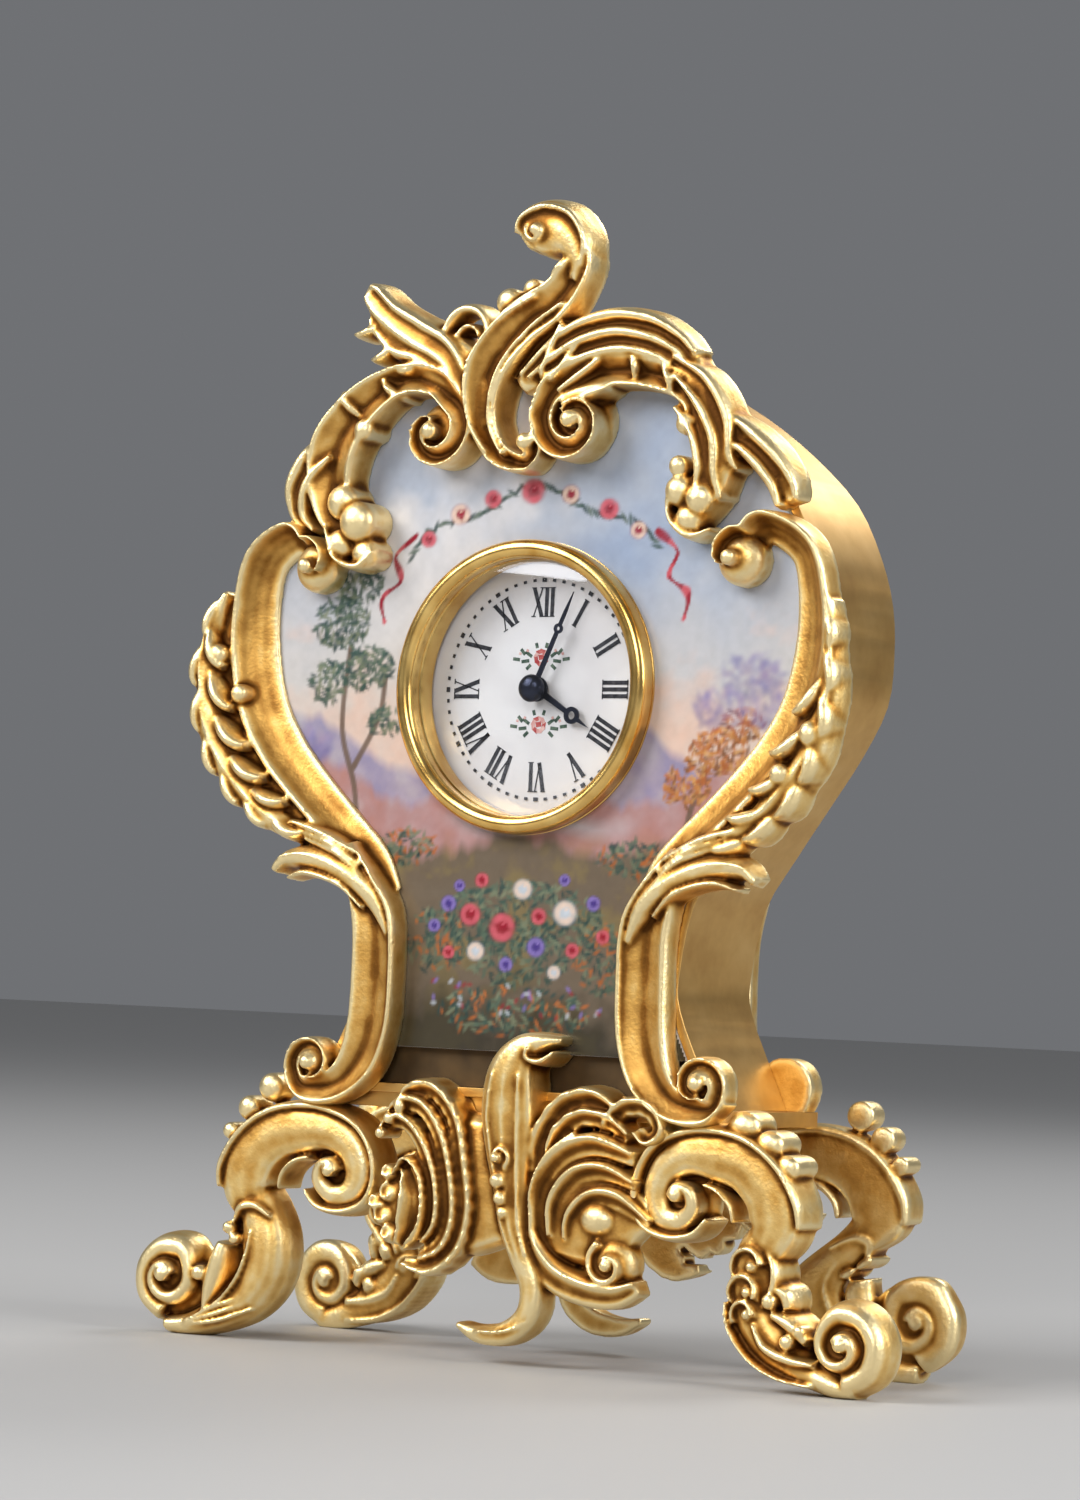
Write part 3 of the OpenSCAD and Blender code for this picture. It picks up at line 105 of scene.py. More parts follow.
floor.data.materials.append(new_material("pale_floor", {"Base Color": (0.42, 0.415, 0.41, 1),
                                                        "Roughness": 0.6})[0])
world = bpy.data.worlds.new("studio")
world.use_nodes = True
tree = world.node_tree
sky = tree.nodes["Background"]
sky.inputs["Color"].default_value = (0.80, 0.82, 0.85, 1)
sky.inputs["Strength"].default_value = 0.32
backdrop = put(tree, "Background", {"Color": (0.16, 0.165, 0.175, 1), "Strength": 1.0})
ray = put(tree, "LightPath").outputs
straight = put(tree, "Math", feeds={0: ray["Is Camera Ray"], 1: ray["Is Transmission Ray"]},
               operation="MAXIMUM")
seen = put(tree, "Math", feeds={0: straight.outputs["Value"], 1: ray["Is Glossy Ray"]}, operation="MAXIMUM")
choice = put(tree, "MixShader", feeds={"Fac": seen.outputs["Value"], 1: sky.outputs["Background"],
                                       2: backdrop.outputs["Background"]})
tree.links.new(choice.outputs["Shader"], tree.nodes["World Output"].inputs["Surface"])
scene.world = world
LAMP_AIM = Vector((0, 0, 0.06))
for name, place, size, power in (("lamp_left", (-0.38, -0.52, 0.48), 0.42, 5.8),
                                 ("lamp_front", (0.28, -0.75, 0.4), 0.3, 2.4),
                                 ("lamp_right", (0.6, -0.02, 0.3), 0.34, 2.8),
                                 ("lamp_back", (0.1, 0.6, 0.6), 0.34, 2.2)):
    lamp = bpy.data.objects.new(name, bpy.data.lights.new(name, "AREA"))
    lamp.data.size = size
    lamp.data.energy = power
    lamp.location = place
    lamp.rotation_euler = (LAMP_AIM - lamp.location).to_track_quat("-Z", "Y").to_euler()
    scene.collection.objects.link(lamp)

# Legs. Each is one brass casting, a scroll with a volute at its foot and a rolled toe, chased and fire
# gilt. They stand under the base plate's edge, and the rear pair is bent in towards its toes.
MM = 0.001
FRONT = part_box("enamel_panel")[0].y / MM
PLATE_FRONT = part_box("base_plate")[0].y / MM
LEG_SET_BACK, REAR_SET_BACK = 1.4, 0.2
LEG_SPLAY = math.radians(3)
SPLAY_X = 16
REAR_TUCK, TUCK_TOP, TUCK_SPAN = 4.3, 15, 7
BACK_SHARE = 0.3
SAMPLE_STEP, SEAM_WELD = 0.25, 1e-5
FRONT_COLUMNS, COLUMNS = 30, 38
MIN_HALF_WIDTH, MIN_RISE = 0.12, 0.25
CAST_STEP = 0.19
POLISH_ROUNDS, HOLLOW_ROUNDS = 6, 14

# Cross-sections of the carved strokes, from the right edge over the front to the left edge
BAR = ((-1, 0), (-0.93, 0.42), (-0.7, 0.78), (-0.35, 0.96), (0, 1), (0.35, 0.96), (0.7, 0.78), (0.93, 0.42),
       (1, 0))
SOFT = ((-1, 0), (-0.97, 0.5), (-0.86, 0.82), (-0.6, 0.94), (0, 1), (0.6, 0.94), (0.86, 0.82), (0.97, 0.5),
        (1, 0))
DISHED = ((-1, 0), (-0.97, 0.72), (-0.84, 1), (-0.62, 0.88), (0, 0.62), (0.62, 0.88), (0.84, 1), (0.97, 0.72),
          (1, 0))


def flow(line, step):
    """A smooth line through drawn points, sampled about a step apart."""
    line = np.array(line, float)
    spans = []
    for i in range(len(line) - 1):
        a, b, c, d = line[max(i - 1, 0)], line[i], line[i + 1], line[min(i + 2, len(line) - 1)]
        n = max(int(math.hypot(*(c - b)[:2]) / step), 1)
        t = (np.arange(n) / n)[:, None]
        spans.append(b + 0.5 * t * (c - a + t * (2 * a - 5 * b + 4 * c - d + t * (3 * b - a - 3 * c + d))))
    return np.vstack(spans + [line[-1:]])


def curl(centre, r0, r1, a0, a1, w0, w1, h0, h1, n):
    """Drawn points that wind in to a volute's eye."""
    points = []
    for i in range(n + 1):
        t = i / n
        r, a = r0 + (r1 - r0) * t, math.radians(a0 + (a1 - a0) * t)
        points.append((centre[0] + r * math.cos(a), centre[1] + r * math.sin(a), w0 + (w1 - w0) * t,
                       h0 + (h1 - h0) * t))
    return points


def press(wax, part):
    """Add one finished stroke to a wax."""
    mesh = bpy.data.meshes.new("stroke")
    part.to_mesh(mesh)
    part.free()
    wax.from_mesh(mesh)
    bpy.data.meshes.remove(mesh)


def carve(wax, line, section, back, veins=0, lean=0.5, bite=0.0, groove=0.0):
    """Sweep one closed stroke along drawn points of (across, up, half width, rise), in millimetres.

    Veins cut that many slanting flutes into it, and bite scallops its edges in step with them.
    """
    path = flow(line, SAMPLE_STEP)
    rows = len(path)
    along = np.gradient(path[:, :2], axis=0)
    along /= np.linalg.norm(along, axis=1)[:, None] + 1e-9
    t = np.linspace(0, 1, rows)[:, None]
    s = np.concatenate([-np.cos(np.linspace(0, math.pi, FRONT_COLUMNS)),
                        np.cos(np.linspace(0, math.pi, COLUMNS - FRONT_COLUMNS + 2))[1:-1]])[None, :]
    shape = np.array(section)
    high = np.interp(s, shape[:, 0], shape[:, 1]) * (np.arange(COLUMNS) < FRONT_COLUMNS)
    width = np.maximum(path[:, 2:3], MIN_HALF_WIDTH)
    rise = np.maximum(path[:, 3:4], MIN_RISE) * np.ones_like(s)
    if veins:
        wave = np.cos(2 * math.pi * (veins * t - lean * np.abs(s)))
        width = width * (1 - bite * (0.5 - 0.5 * wave))
        rise = rise + groove * (wave - 1) * np.minimum(np.abs(s) * 2, 1)
    across = path[:, 0:1] - along[:, 1:2] * s * width
    up = path[:, 1:2] + along[:, 0:1] * s * width
    deep = back - high * rise
    stroke = bmesh.new()
    for v in bmesh.ops.create_grid(stroke, x_segments=rows - 1, y_segments=COLUMNS, size=1)["verts"]:
        i, k = round((v.co.x + 1) / 2 * (rows - 1)), round((v.co.y + 1) / 2 * COLUMNS) % COLUMNS
        v.co = (across[i, k], deep[i, k], up[i, k])
    seam = {v for e in stroke.edges if e.is_boundary for v in e.verts}
    bmesh.ops.remove_doubles(stroke, verts=list(seam), dist=SEAM_WELD)
    bmesh.ops.holes_fill(stroke, edges=[e for e in stroke.edges if e.is_boundary], sides=0)
    press(wax, stroke)


def pearl(wax, x, z, r, rise, back, oval=1.0):
    """A cast bead that stands on the back plane."""
    ball = bmesh.new()
    dome = min(0.8 * r, rise)
    for v in bmesh.ops.create_icosphere(ball, subdivisions=3, radius=1)["verts"]:
        ahead = rise - dome + dome * v.co.y if v.co.y > 0 else 0
        v.co = (x + v.co.x * r * oval, back - ahead, z + v.co.z * r)
    press(wax, ball)


def table(items, key, columns, kind=float):
    """One property of all vertices or edges of a mesh, as an array."""
    values = np.empty(len(items) * columns, kind)
    items.foreach_get(key, values)
    return values.reshape(-1, columns)


def hollow_of(mesh, rounds):
    """How far each point lies below the mean of its surroundings, in metres."""
    co = table(mesh.vertices, "co", 3)
    a, b = table(mesh.edges, "vertices", 2, int).T
    count = np.bincount(np.concatenate([a, b]), minlength=len(co))
    soft = co.copy()
    for _ in range(rounds):
        for axis in range(3):
            total = np.bincount(a, soft[b, axis], len(co)) + np.bincount(b, soft[a, axis], len(co))
            soft[:, axis] = total / np.maximum(count, 1)
    return ((soft - co) * table(mesh.vertices, "normal", 3)).sum(axis=1)


def body_with(node):
    """The body that a CAD node rides on."""
    return next(b for b, held in frame["record"]["behaviour"]["bodies"].items() if node in held)


def stand_in(name, mesh, node, material):
    """Make a mesh the piece that stands for a CAD node."""
    piece = bpy.data.objects.new(name, mesh)
    scene.collection.objects.link(piece)
    mesh.materials.append(material)
    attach(piece, body_with(node))
    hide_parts(node)


def cast(name, wax, node, step=CAST_STEP):
    """Pour a wax of overlapping strokes as one smooth piece in place of a CAD node."""
    mesh = bpy.data.meshes.new(name)
    wax.to_mesh(mesh)
    wax.free()
    rough = bpy.data.objects.new(name, mesh)
    scene.collection.objects.link(rough)
    skin = rough.modifiers.new("skin", "REMESH")
    skin.mode = "VOXEL"
    skin.voxel_size = step
    skin.use_smooth_shade = True
    polish = rough.modifiers.new("polish", "SMOOTH")
    polish.factor = 0.5
    polish.iterations = POLISH_ROUNDS
    bpy.context.view_layer.update()
    done = bpy.data.meshes.new_from_object(rough.evaluated_get(bpy.context.evaluated_depsgraph_get()))
    bpy.data.objects.remove(rough)
    bpy.data.meshes.remove(mesh)
    co = table(done.vertices, "co", 3)
    co[:, 2] = np.maximum(co[:, 2], 0)
    done.vertices.foreach_set("co", (co * MM).ravel())
    done.update()
    # The depth of each hollow is kept for the gilding, which darkens the hollows with dirt and with painted
    # shade.
    hollow_dirt_and_shade = done.attributes.new("hollow", "FLOAT", "POINT")
    hollow_dirt_and_shade.data.foreach_set("value", (hollow_of(done, HOLLOW_ROUNDS) / MM).astype(np.float32))
    done.shade_smooth()
    stand_in(name, done, node, gilt)


def lead(tree, socket, name):
    """Lead an output to the input of that name on a material's shader."""
    tree.links.new(socket, tree.nodes["Principled BSDF"].inputs[name])


def colour_by(tree, source, tones):
    """Colour a material by a ramp of (position, colour) over a source."""
    ramp = put(tree, "ValToRGB", feeds={"Fac": source})
    ends = ramp.color_ramp.elements
    for end, (at, colour) in zip(ends, (tones[0], tones[-1])):
        end.position, end.color = at, (*colour, 1)
    for at, colour in tones[1:-1]:
        ends.new(at).color = (*colour, 1)
    lead(tree, ramp.outputs["Color"], "Base Color")


def roughness_by(tree, source, low, high):
    """Let a material's roughness follow a source between two values."""
    spread = put(tree, "MapRange", {"To Min": low, "To Max": high}, {"Value": source})
    lead(tree, spread.outputs["Result"], "Roughness")


def bump_by(tree, source, strength, distance):
    """Let a material's surface follow a source."""
    bump = put(tree, "Bump", {"Strength": strength, "Distance": distance}, {"Height": source})
    lead(tree, bump.outputs["Normal"], "Normal")


# Fire gilding. Bright where it is burnished, brown where dirt has settled in the hollows and darker still,
# near black, as painted shade in the deepest ones, with fine pits
gilt, tree = new_material("fire_gilding", {"Metallic": 1.0})
place = put(tree, "TexCoord").outputs["Object"]
hollow = put(tree, "Attribute")
hollow.attribute_name = "hollow"
cloud = put(tree, "TexNoise", {"Scale": 420, "Detail": 4}, {"Vector": place})
depth = put(tree, "MapRange", {"From Min": -0.08, "From Max": 0.17}, {"Value": hollow.outputs["Fac"]})
sway = put(tree, "Math", {1: 0.45}, {0: cloud.outputs["Fac"], 2: depth.outputs["Result"]}, "MULTIPLY_ADD")
# The deeper the hollow, the darker the brown, down to near black: settled dirt, and painted shade where light
# would not reach.
colour_by(tree, sway.outputs["Value"], (
    (0.28, (0.93, 0.75, 0.40)), (0.42, (0.85, 0.59, 0.22)), (0.57, (0.64, 0.36, 0.09)),
    (0.76, (0.26, 0.11, 0.02)), (1.0, (0.085, 0.032, 0.007))))
roughness_by(tree, sway.outputs["Value"], 0.33, 0.58)
grain = put(tree, "TexNoise", {"Scale": 2600, "Detail": 3}, {"Vector": place})
bump_by(tree, grain.outputs["Fac"], 0.4, 0.00012)

foot_band = ((29.2, 12.8, 1.9, 3.2), (30.6, 15.2, 2.9, 3.5), (30, 18.4, 3.1, 3.6), (27.5, 20.8, 3, 3.6),
             (24.2, 21.5, 2.6, 3.6), (21, 21.5, 2.1, 3.6), (18.5, 20.1, 1.8, 3.5), (17.4, 17.7, 1.6, 3.4),
             (18.2, 15.6, 1.4, 3.4), (20.2, 15.2, 1.15, 3.5), (21.7, 16.5, 0.9, 3.7), (21.4, 18, 0.75, 3.9),
             (20.1, 18.4, 0.6, 4.1), (19.5, 17.5, 0.5, 4.2))
foot_rim = (
    (33.6, 15.2, 0.4, 3.4), (33.3, 17.7, 0.6, 3.8), (31.3, 20.8, 0.62, 3.9), (28.2, 23, 0.62, 3.9),
    (24.6, 23.9, 0.62, 3.9), (21, 23.7, 0.62, 3.9), (17.6, 22.4, 0.62, 3.9), (15.7, 20, 0.62, 3.8),
    (15.2, 17, 0.62, 3.8), (16.3, 14.6, 0.62, 3.8), (19, 13.6, 0.6, 3.7), (21.8, 14, 0.5, 3.6),
    (23.4, 15.6, 0.35, 3.4))
inner_edge = ((26.4, 15.4, 0.35, 3.4), (26, 17, 0.42, 3.6), (24.6, 18.3, 0.42, 3.7), (22.9, 18.8, 0.35, 3.5))
ankle_left = (
    (29.8, 15.4, 1.7, 3), (29, 13, 2.6, 3.5), (28.2, 10, 3.1, 3.8), (28.4, 7, 3, 3.8), (30.2, 4.4, 2.6, 3.6),
    (33.2, 2.5, 2, 3.4), (36.8, 1.15, 1.4, 3.2), (39.8, 0.9, 1, 3))
ankle_right = (
    (30.4, 15.2, 1.8, 3), (28.8, 12.8, 2.8, 3.3), (28.2, 9.8, 3, 3.3), (28.8, 6.8, 2.9, 3.3),
    (31, 4.1, 2.5, 3.3), (34.2, 2.3, 1.8, 3.3), (37.6, 1.1, 1.3, 3.2), (39.8, 0.9, 1, 3))
toe_left = [*curl((39, 5.6), 3.6, 3.2, -75, 110, 1.4, 1.6, 3.5, 3.5, 4),
            *curl((39.4, 5.8), 2.8, 0.7, 150, 520, 1.3, 0.65, 3.6, 4.1, 9)]
toe_right = [*curl((38.7, 4.8), 3.5, 3, -85, 100, 1.4, 1.4, 3.4, 3.4, 4),
             *curl((38.6, 4.9), 2.5, 0.6, 140, 510, 1.05, 0.55, 3.5, 4, 9)]


def leg_wax(left, back):
    """The strokes of one leg, drawn for the right side of the front."""
    wax = bmesh.new()
    carve(wax, foot_band, SOFT, back)
    carve(wax, foot_rim, BAR, back)
    carve(wax, inner_edge, BAR, back)
    pearl(wax, 19.9, 17.2, 3.6, 2.2, back)
    pearl(wax, 20.2, 17.6, 0.65, 4.4, back)
    if left:
        carve(wax, ankle_left, BAR, back)
        carve(wax, toe_left, BAR, back)
        pearl(wax, 38.9, 5.5, 4.6, 2.8, back)
        pearl(wax, 39.6, 6, 0.8, 4.4, back)
        for bead in ((28.4, 25.5, 1.5), (30.9, 23.3, 1.3), (32.9, 20.9, 0.9)):
            pearl(wax, *bead, 3, back)
        carve(wax, ((34.6, 2.6, 0.8, 3.5), (34, 5.2, 1.5, 3.8), (33.2, 7.8, 1.6, 3.9), (32.8, 9.6, 1.1, 3.6)),
              BAR, back)
        carve(wax, ((31.6, 11.9, 0.35, 3.2), (30.6, 13.3, 0.7, 3.9), (28.8, 13.6, 0.7, 4),
                    (27, 12.6, 0.35, 3.8)), BAR, back)
        carve(wax, ((29.2, 11, 0.35, 3.9), (29.6, 8.6, 0.5, 4.1), (30.6, 6.2, 0.5, 4.1), (32.5, 4, 0.45, 3.9),
                    (35.4, 2.1, 0.3, 3.5)), BAR, back, veins=17, lean=0.2, groove=0.2, bite=0.25)
        for fold in (0.9, 1.9, 2.9):
            carve(wax, ((29.4 - fold * 0.2, 5.2 - fold * 0.7, 0.2, 3.4), (33, 3.9 - fold * 0.75, 0.36, 3.8),
                        (36.9, 1.8 - fold * 0.25, 0.2, 3.4)), BAR, back)
        for bead in ((35.4, 6.4, 0.8), (32, 11.2, 0.65), (31.2, 10.1, 0.6)):
            pearl(wax, *bead, 3.9, back)
    else:
        carve(wax, ankle_right, BAR, back)
        carve(wax, toe_right, BAR, back)
        pearl(wax, 38.7, 4.7, 4.1, 2.8, back)
        pearl(wax, 38.9, 5, 0.7, 4.3, back)
        for bead in ((26.8, 24.4, 1.6), (29.8, 22.9, 1.4), (31.9, 20.9, 1.2)):
            pearl(wax, *bead, 3.4, back, 1.15)
        for x, z, r, a in ((28.3, 11.4, 1.9, 10), (27.9, 9, 1.75, -20), (28, 6.9, 1.4, 0)):
            carve(wax, curl((x, z), r, r * 0.85, 215, a, 0.35, 0.55, 3.4, 4.1, 7), BAR, back)
            pearl(wax, x + 0.5, z + 0.1, 0.5, 3.9, back)
        for line in (((30.4, 13, 0.4, 3.3), (31.2, 11.2, 0.7, 3.6), (31, 9.2, 0.6, 3.6),
                      (30, 7.8, 0.35, 3.4)),
                     ((30.6, 9.6, 0.5, 3.4), (32.2, 9.2, 1, 3.4), (32.6, 7.8, 0.8, 3.2)),
                     ((31, 7.2, 0.6, 3.5), (33.2, 6.4, 1.1, 3.8), (35, 4.9, 0.8, 3.6)),
                     ((29.2, 6.2, 0.35, 3.8), (30.6, 4.2, 0.8, 4), (33.2, 3.2, 0.8, 4), (36, 2.9, 0.5, 3.7))):
            carve(wax, line, BAR, back)
        carve(wax, ((25.8, 8, 0.3, 3.5), (26.4, 5.6, 0.4, 3.8), (28.8, 2.9, 0.45, 3.9), (32, 1.4, 0.45, 3.9),
                    (35.8, 0.9, 0.4, 3.7)), BAR, back, veins=22, lean=0.2, groove=0.2, bite=0.25)
        for bead in ((30.9, 8.4, 0.75), (33, 4.8, 0.75), (34.4, 5.9, 0.65)):
            pearl(wax, *bead, 4, back)
    return wax


for node, left, rear in (("leg_front_left", True, False), ("leg_front_right", False, False),
                         ("leg_rear_left", False, True), ("leg_rear_right", True, True)):
    back = PLATE_FRONT + (REAR_SET_BACK if rear else LEG_SET_BACK)
    wax = leg_wax(left, back)
    half = bmesh.ops.duplicate(wax, geom=wax.verts[:] + wax.edges[:] + wax.faces[:])["geom"]
    for v in (g for g in half if isinstance(g, bmesh.types.BMVert)):
        v.co.y = back + (back - v.co.y) * BACK_SHARE
    if rear:
        for v in wax.verts:
            bend = min(max((TUCK_TOP - v.co.z) / TUCK_SPAN, 0), 1)
            v.co.x -= REAR_TUCK * bend * bend * (3 - 2 * bend)
    turn = (Matrix.Translation((SPLAY_X, PLATE_FRONT, 0)) @ Matrix.Rotation(-LEG_SPLAY, 4, "Z")
            @ Matrix.Translation((-SPLAY_X, -PLATE_FRONT, 0)))
    side = -1 if node.endswith("left") else 1
    bmesh.ops.transform(wax, matrix=Matrix.Diagonal((side, -1 if rear else 1, 1, 1)) @ turn, verts=wax.verts)
    cast(node + "_casting", wax, node)

# Aprons. A pierced brass casting of shell scrolls with a hanging leaf fills each gap between the
# legs. Both are cast from one pattern, so the rear one is turned round.
drop_stem = (
    (6.9, 31.7, 0.35, 3), (5, 31.5, 0.9, 4), (2.9, 30.6, 1.8, 4.4), (1.5, 28.2, 2.8, 4.5),
    (1.2, 24.6, 3.2, 4.3), (1.4, 21, 2.8, 4.1), (1.8, 17.4, 2.2, 3.9), (2.2, 13.8, 1.8, 3.7),
    (3.2, 10.8, 1.5, 3.5), (4.4, 7.8, 1.4, 3.4), (4, 5, 1.35, 3.4), (1.6, 3.2, 1.25, 3.2),
    (-1.6, 2.8, 0.95, 3), (-4.3, 3.6, 0.35, 2.4))
shell_ribs = (
    ((-11.9, 24.6, 0.52, 3), (-10.2, 26.1, 1.04, 3.6), (-7.6, 26.1, 1.17, 3.8), (-5.2, 23.6, 1.23, 3.8),
     (-4.1, 19.4, 1.3, 3.8), (-3.5, 14.8, 1.3, 3.7), (-4.6, 11, 1.17, 3.6), (-7.6, 8.9, 1.04, 3.4),
     (-10.8, 9.3, 0.52, 3)),
    ((-13.1, 23.4, 0.52, 3), (-11.5, 24.7, 0.98, 3.5), (-9, 24.4, 1.1, 3.7), (-6.9, 21.8, 1.17, 3.7),
     (-5.7, 17.8, 1.17, 3.6), (-5.4, 14, 1.17, 3.5), (-6.5, 11.2, 1.04, 3.4), (-9, 9.9, 0.65, 3.2)),
    ((-14, 21.9, 0.45, 3), (-12.6, 23, 0.85, 3.4), (-10.6, 22.6, 0.98, 3.6), (-8.6, 20.2, 1.04, 3.6),
     (-7.4, 16.8, 0.98, 3.5), (-7.4, 13.4, 0.91, 3.4), (-8.8, 11.4, 0.52, 3.1)))
shell_fan = (
    ((4.4, 19, 0.52, 3), (4.9, 22.6, 1.04, 3.5), (7.4, 25.6, 1.17, 3.8), (10.6, 26.4, 1.23, 3.9),
     (13, 25.4, 0.91, 3.7)),
    ((5.8, 19.4, 0.45, 3), (6.6, 22.4, 0.91, 3.5), (9.2, 24.4, 1.04, 3.7), (12.4, 24.2, 1.04, 3.7),
     (14.6, 22.8, 0.65, 3.4)),
    ((12, 23.6, 0.52, 3.4), (14.2, 25.6, 1.04, 3.8), (16.9, 25.6, 1.17, 3.9), (18.2, 23.8, 1.04, 3.9),
     (17, 22.7, 0.72, 3.9), (15.9, 23.6, 0.59, 4.1)))
shell_arcs = (
    ((5, 13.4, 0.65, 3.2), (5.1, 17.4, 1.17, 3.6), (7.4, 20.6, 1.3, 3.8), (11, 21.9, 1.3, 3.8),
     (15.4, 20.8, 0.91, 3.6)),
    ((6.6, 12.8, 0.65, 3.2), (6.9, 16.2, 1.04, 3.5), (9, 18.8, 1.1, 3.6), (12.2, 19.4, 1.04, 3.6),
     (15.6, 18.2, 0.65, 3.4)),
    ((8.2, 12.6, 0.52, 3.1), (8.8, 15, 0.91, 3.3), (10.8, 16.8, 0.98, 3.4), (13.8, 16.7, 1.17, 3.5),
     (17.2, 14.7, 0.52, 3)),
    ((3.6, 16, 0.65, 3), (4.2, 12, 1.43, 3.5), (6.6, 9.2, 1.62, 3.7), (10, 7.9, 1.56, 3.7),
     (13.6, 7.6, 1.3, 3.6), (16.2, 8.6, 0.78, 3.3)))
RIDGED = ((-1, 0), (-0.95, 0.62), (-0.7, 0.74), (-0.3, 0.72), (0, 0.78), (0.3, 0.92), (0.6, 1), (0.85, 0.84),
          (1, 0))


def apron_wax(back):
    """The strokes of the apron as seen from the front."""
    wax = bmesh.new()
    carve(wax, drop_stem, SOFT, back)
    for shift in (-0.55, 0, 0.55):
        carve(wax, [(x + shift * w, z, 0.22, h + 0.12) for x, z, w, h in drop_stem[3:9]], BAR, back)
    carve(wax, ((6.6, 30.6, 0.3, 4), (5.2, 29.6, 0.55, 4.5), (3.8, 29.9, 0.5, 4.7), (3.9, 30.9, 0.4, 4.8)),
          BAR, back)
    carve(wax, curl((1.1, 20.2), 1.2, 0.4, -60, 250, 0.4, 0.3, 4.4, 4.9, 6), BAR, back)
    for bead in ((0.9, 20.1, 0.5, 5), (0.9, 17.9, 0.75, 4.7), (1.2, 16.2, 0.65, 4.5), (1.4, 14.8, 0.5, 4.2)):
        pearl(wax, *bead, back)
    carve(wax, ((4.6, 4.4, 0.3, 3.4), (1.8, 3.4, 0.4, 3.7), (-1.6, 3.2, 0.3, 3.3)), BAR, back, veins=8,
          groove=0.25, bite=0.3)
    for rib in shell_ribs:
        carve(wax, rib, RIDGED, back, veins=20, lean=0.15, groove=0.07, bite=0.08)
        x, z = rib[0][:2]
        pearl(wax, x + 0.4, z - 0.2, 0.6, 3.6, back)
    carve(wax, ((-10.6, 18.4, 0.8, 3), (-9.6, 15.6, 1.7, 3.5), (-10, 12.6, 1.6, 3.4), (-11.4, 10.6, 0.6, 3)),
          DISHED, back)
    carve(wax, ((-12.2, 17.6, 0.3, 3.2), (-10.6, 19.4, 0.45, 3.7), (-8.6, 17.6, 0.45, 3.8),
                (-8.4, 13.4, 0.45, 3.8), (-10.2, 10.9, 0.35, 3.5)), BAR, back, veins=14, lean=0, groove=0.15,
          bite=0.25)
    for x, z, r in ((-12.8, 15.8, 1.2), (-13.3, 13.6, 1.3), (-12.6, 11.8, 1.0), (-14.3, 14.8, 0.9),
                    (-12.9, 17.8, 0.9)):
        pearl(wax, x, z, r, 2.7, back)
        carve(wax, curl((x, z), r * 0.9, r * 0.3, 90, 330, 0.28, 0.2, 2.9, 3.1, 5), BAR, back)
    for line in shell_fan:
        carve(wax, line, RIDGED, back, veins=7, lean=0.2, groove=0.07, bite=0.08)
    for line in shell_arcs:
        carve(wax, line, RIDGED, back)
    carve(wax, ((4.4, 12.6, 0.25, 3.4), (4.4, 17, 0.4, 3.9), (6, 20.6, 0.4, 3.9), (9, 23, 0.35, 3.7)), BAR,
          back, veins=20, lean=0, groove=0.2, bite=0.3)
    pearl(wax, 11.4, 14.7, 1.5, 3.2, back, 1.3)
    pearl(wax, 13.2, 10.6, 2.5, 3.1, back)
    carve(wax, curl((13.2, 10.6), 2.4, 0.6, 120, 480, 0.7, 0.45, 3.4, 4, 9), BAR, back)
    pearl(wax, 13.3, 10.5, 0.6, 4.2, back)
    for web in (((-15.4, 13.4, 0.9, 2), (-10.4, 15, 3.6, 2.5), (-5, 17, 7, 2.7), (1, 17.6, 6, 2.7)),
                ((1, 17.6, 6, 2.7), (6, 17.4, 6.6, 2.7), (11.6, 15.4, 5.4, 2.5), (16.8, 15.6, 1.4, 2))):
        carve(wax, web, SOFT, back)
    return wax


for node, rear in (("front_apron", False), ("rear_apron", True)):
    wax = apron_wax(PLATE_FRONT)
    spin = Matrix.Rotation(math.pi if rear else 0, 4, "Z")
    bmesh.ops.transform(wax, matrix=spin, verts=wax.verts)
    cast(node + "_casting", wax, node)

# Base plate, case band, front plate and back plate. They are sheet brass, filed, satin brushed and
# gilt, and soldered to one waisted box that stands on the base plate. The front plate, which the
# castings hide, isn't gilt; it is coloured almost black as painted shade where it shows through gaps.
satin_gilt, tree = new_material("satin_gilt_sheet", {"Metallic": 1.0})
place = put(tree, "TexCoord").outputs["Object"]
drawn = put(tree, "Mapping", {"Scale": (700, 60, 700)}, {"Vector": place}).outputs["Vector"]
brushed = put(tree, "TexNoise", {"Scale": 1.0, "Detail": 5}, {"Vector": drawn}).outputs["Fac"]
stain = put(tree, "TexNoise", {"Scale": 130, "Detail": 4, "Roughness": 0.62},
            {"Vector": place}).outputs["Fac"]
colour_by(tree, stain, ((0.3, (0.55, 0.31, 0.09)), (0.52, (0.67, 0.41, 0.135)), (0.72, (0.76, 0.50, 0.19))))
roughness_by(tree, brushed, 0.3, 0.5)
bump_by(tree, brushed, 0.12, 0.00008)
SHARP_EDGE, EASED_CREASE = math.radians(30), math.radians(26)
FLAT = math.radians(0.5)
WELD = 1e-7


def finish_piece(name, work, node, material, crease):
    """Turn a worked bmesh into a piece that stands for a CAD node, smooth but for its creases."""
    bmesh.ops.recalc_face_normals(work, faces=work.faces)
    mesh = bpy.data.meshes.new(name)
    work.to_mesh(mesh)
    work.free()
    mesh.shade_smooth()
    mesh.set_sharp_from_angle(angle=crease)
    stand_in(name, mesh, node, material)


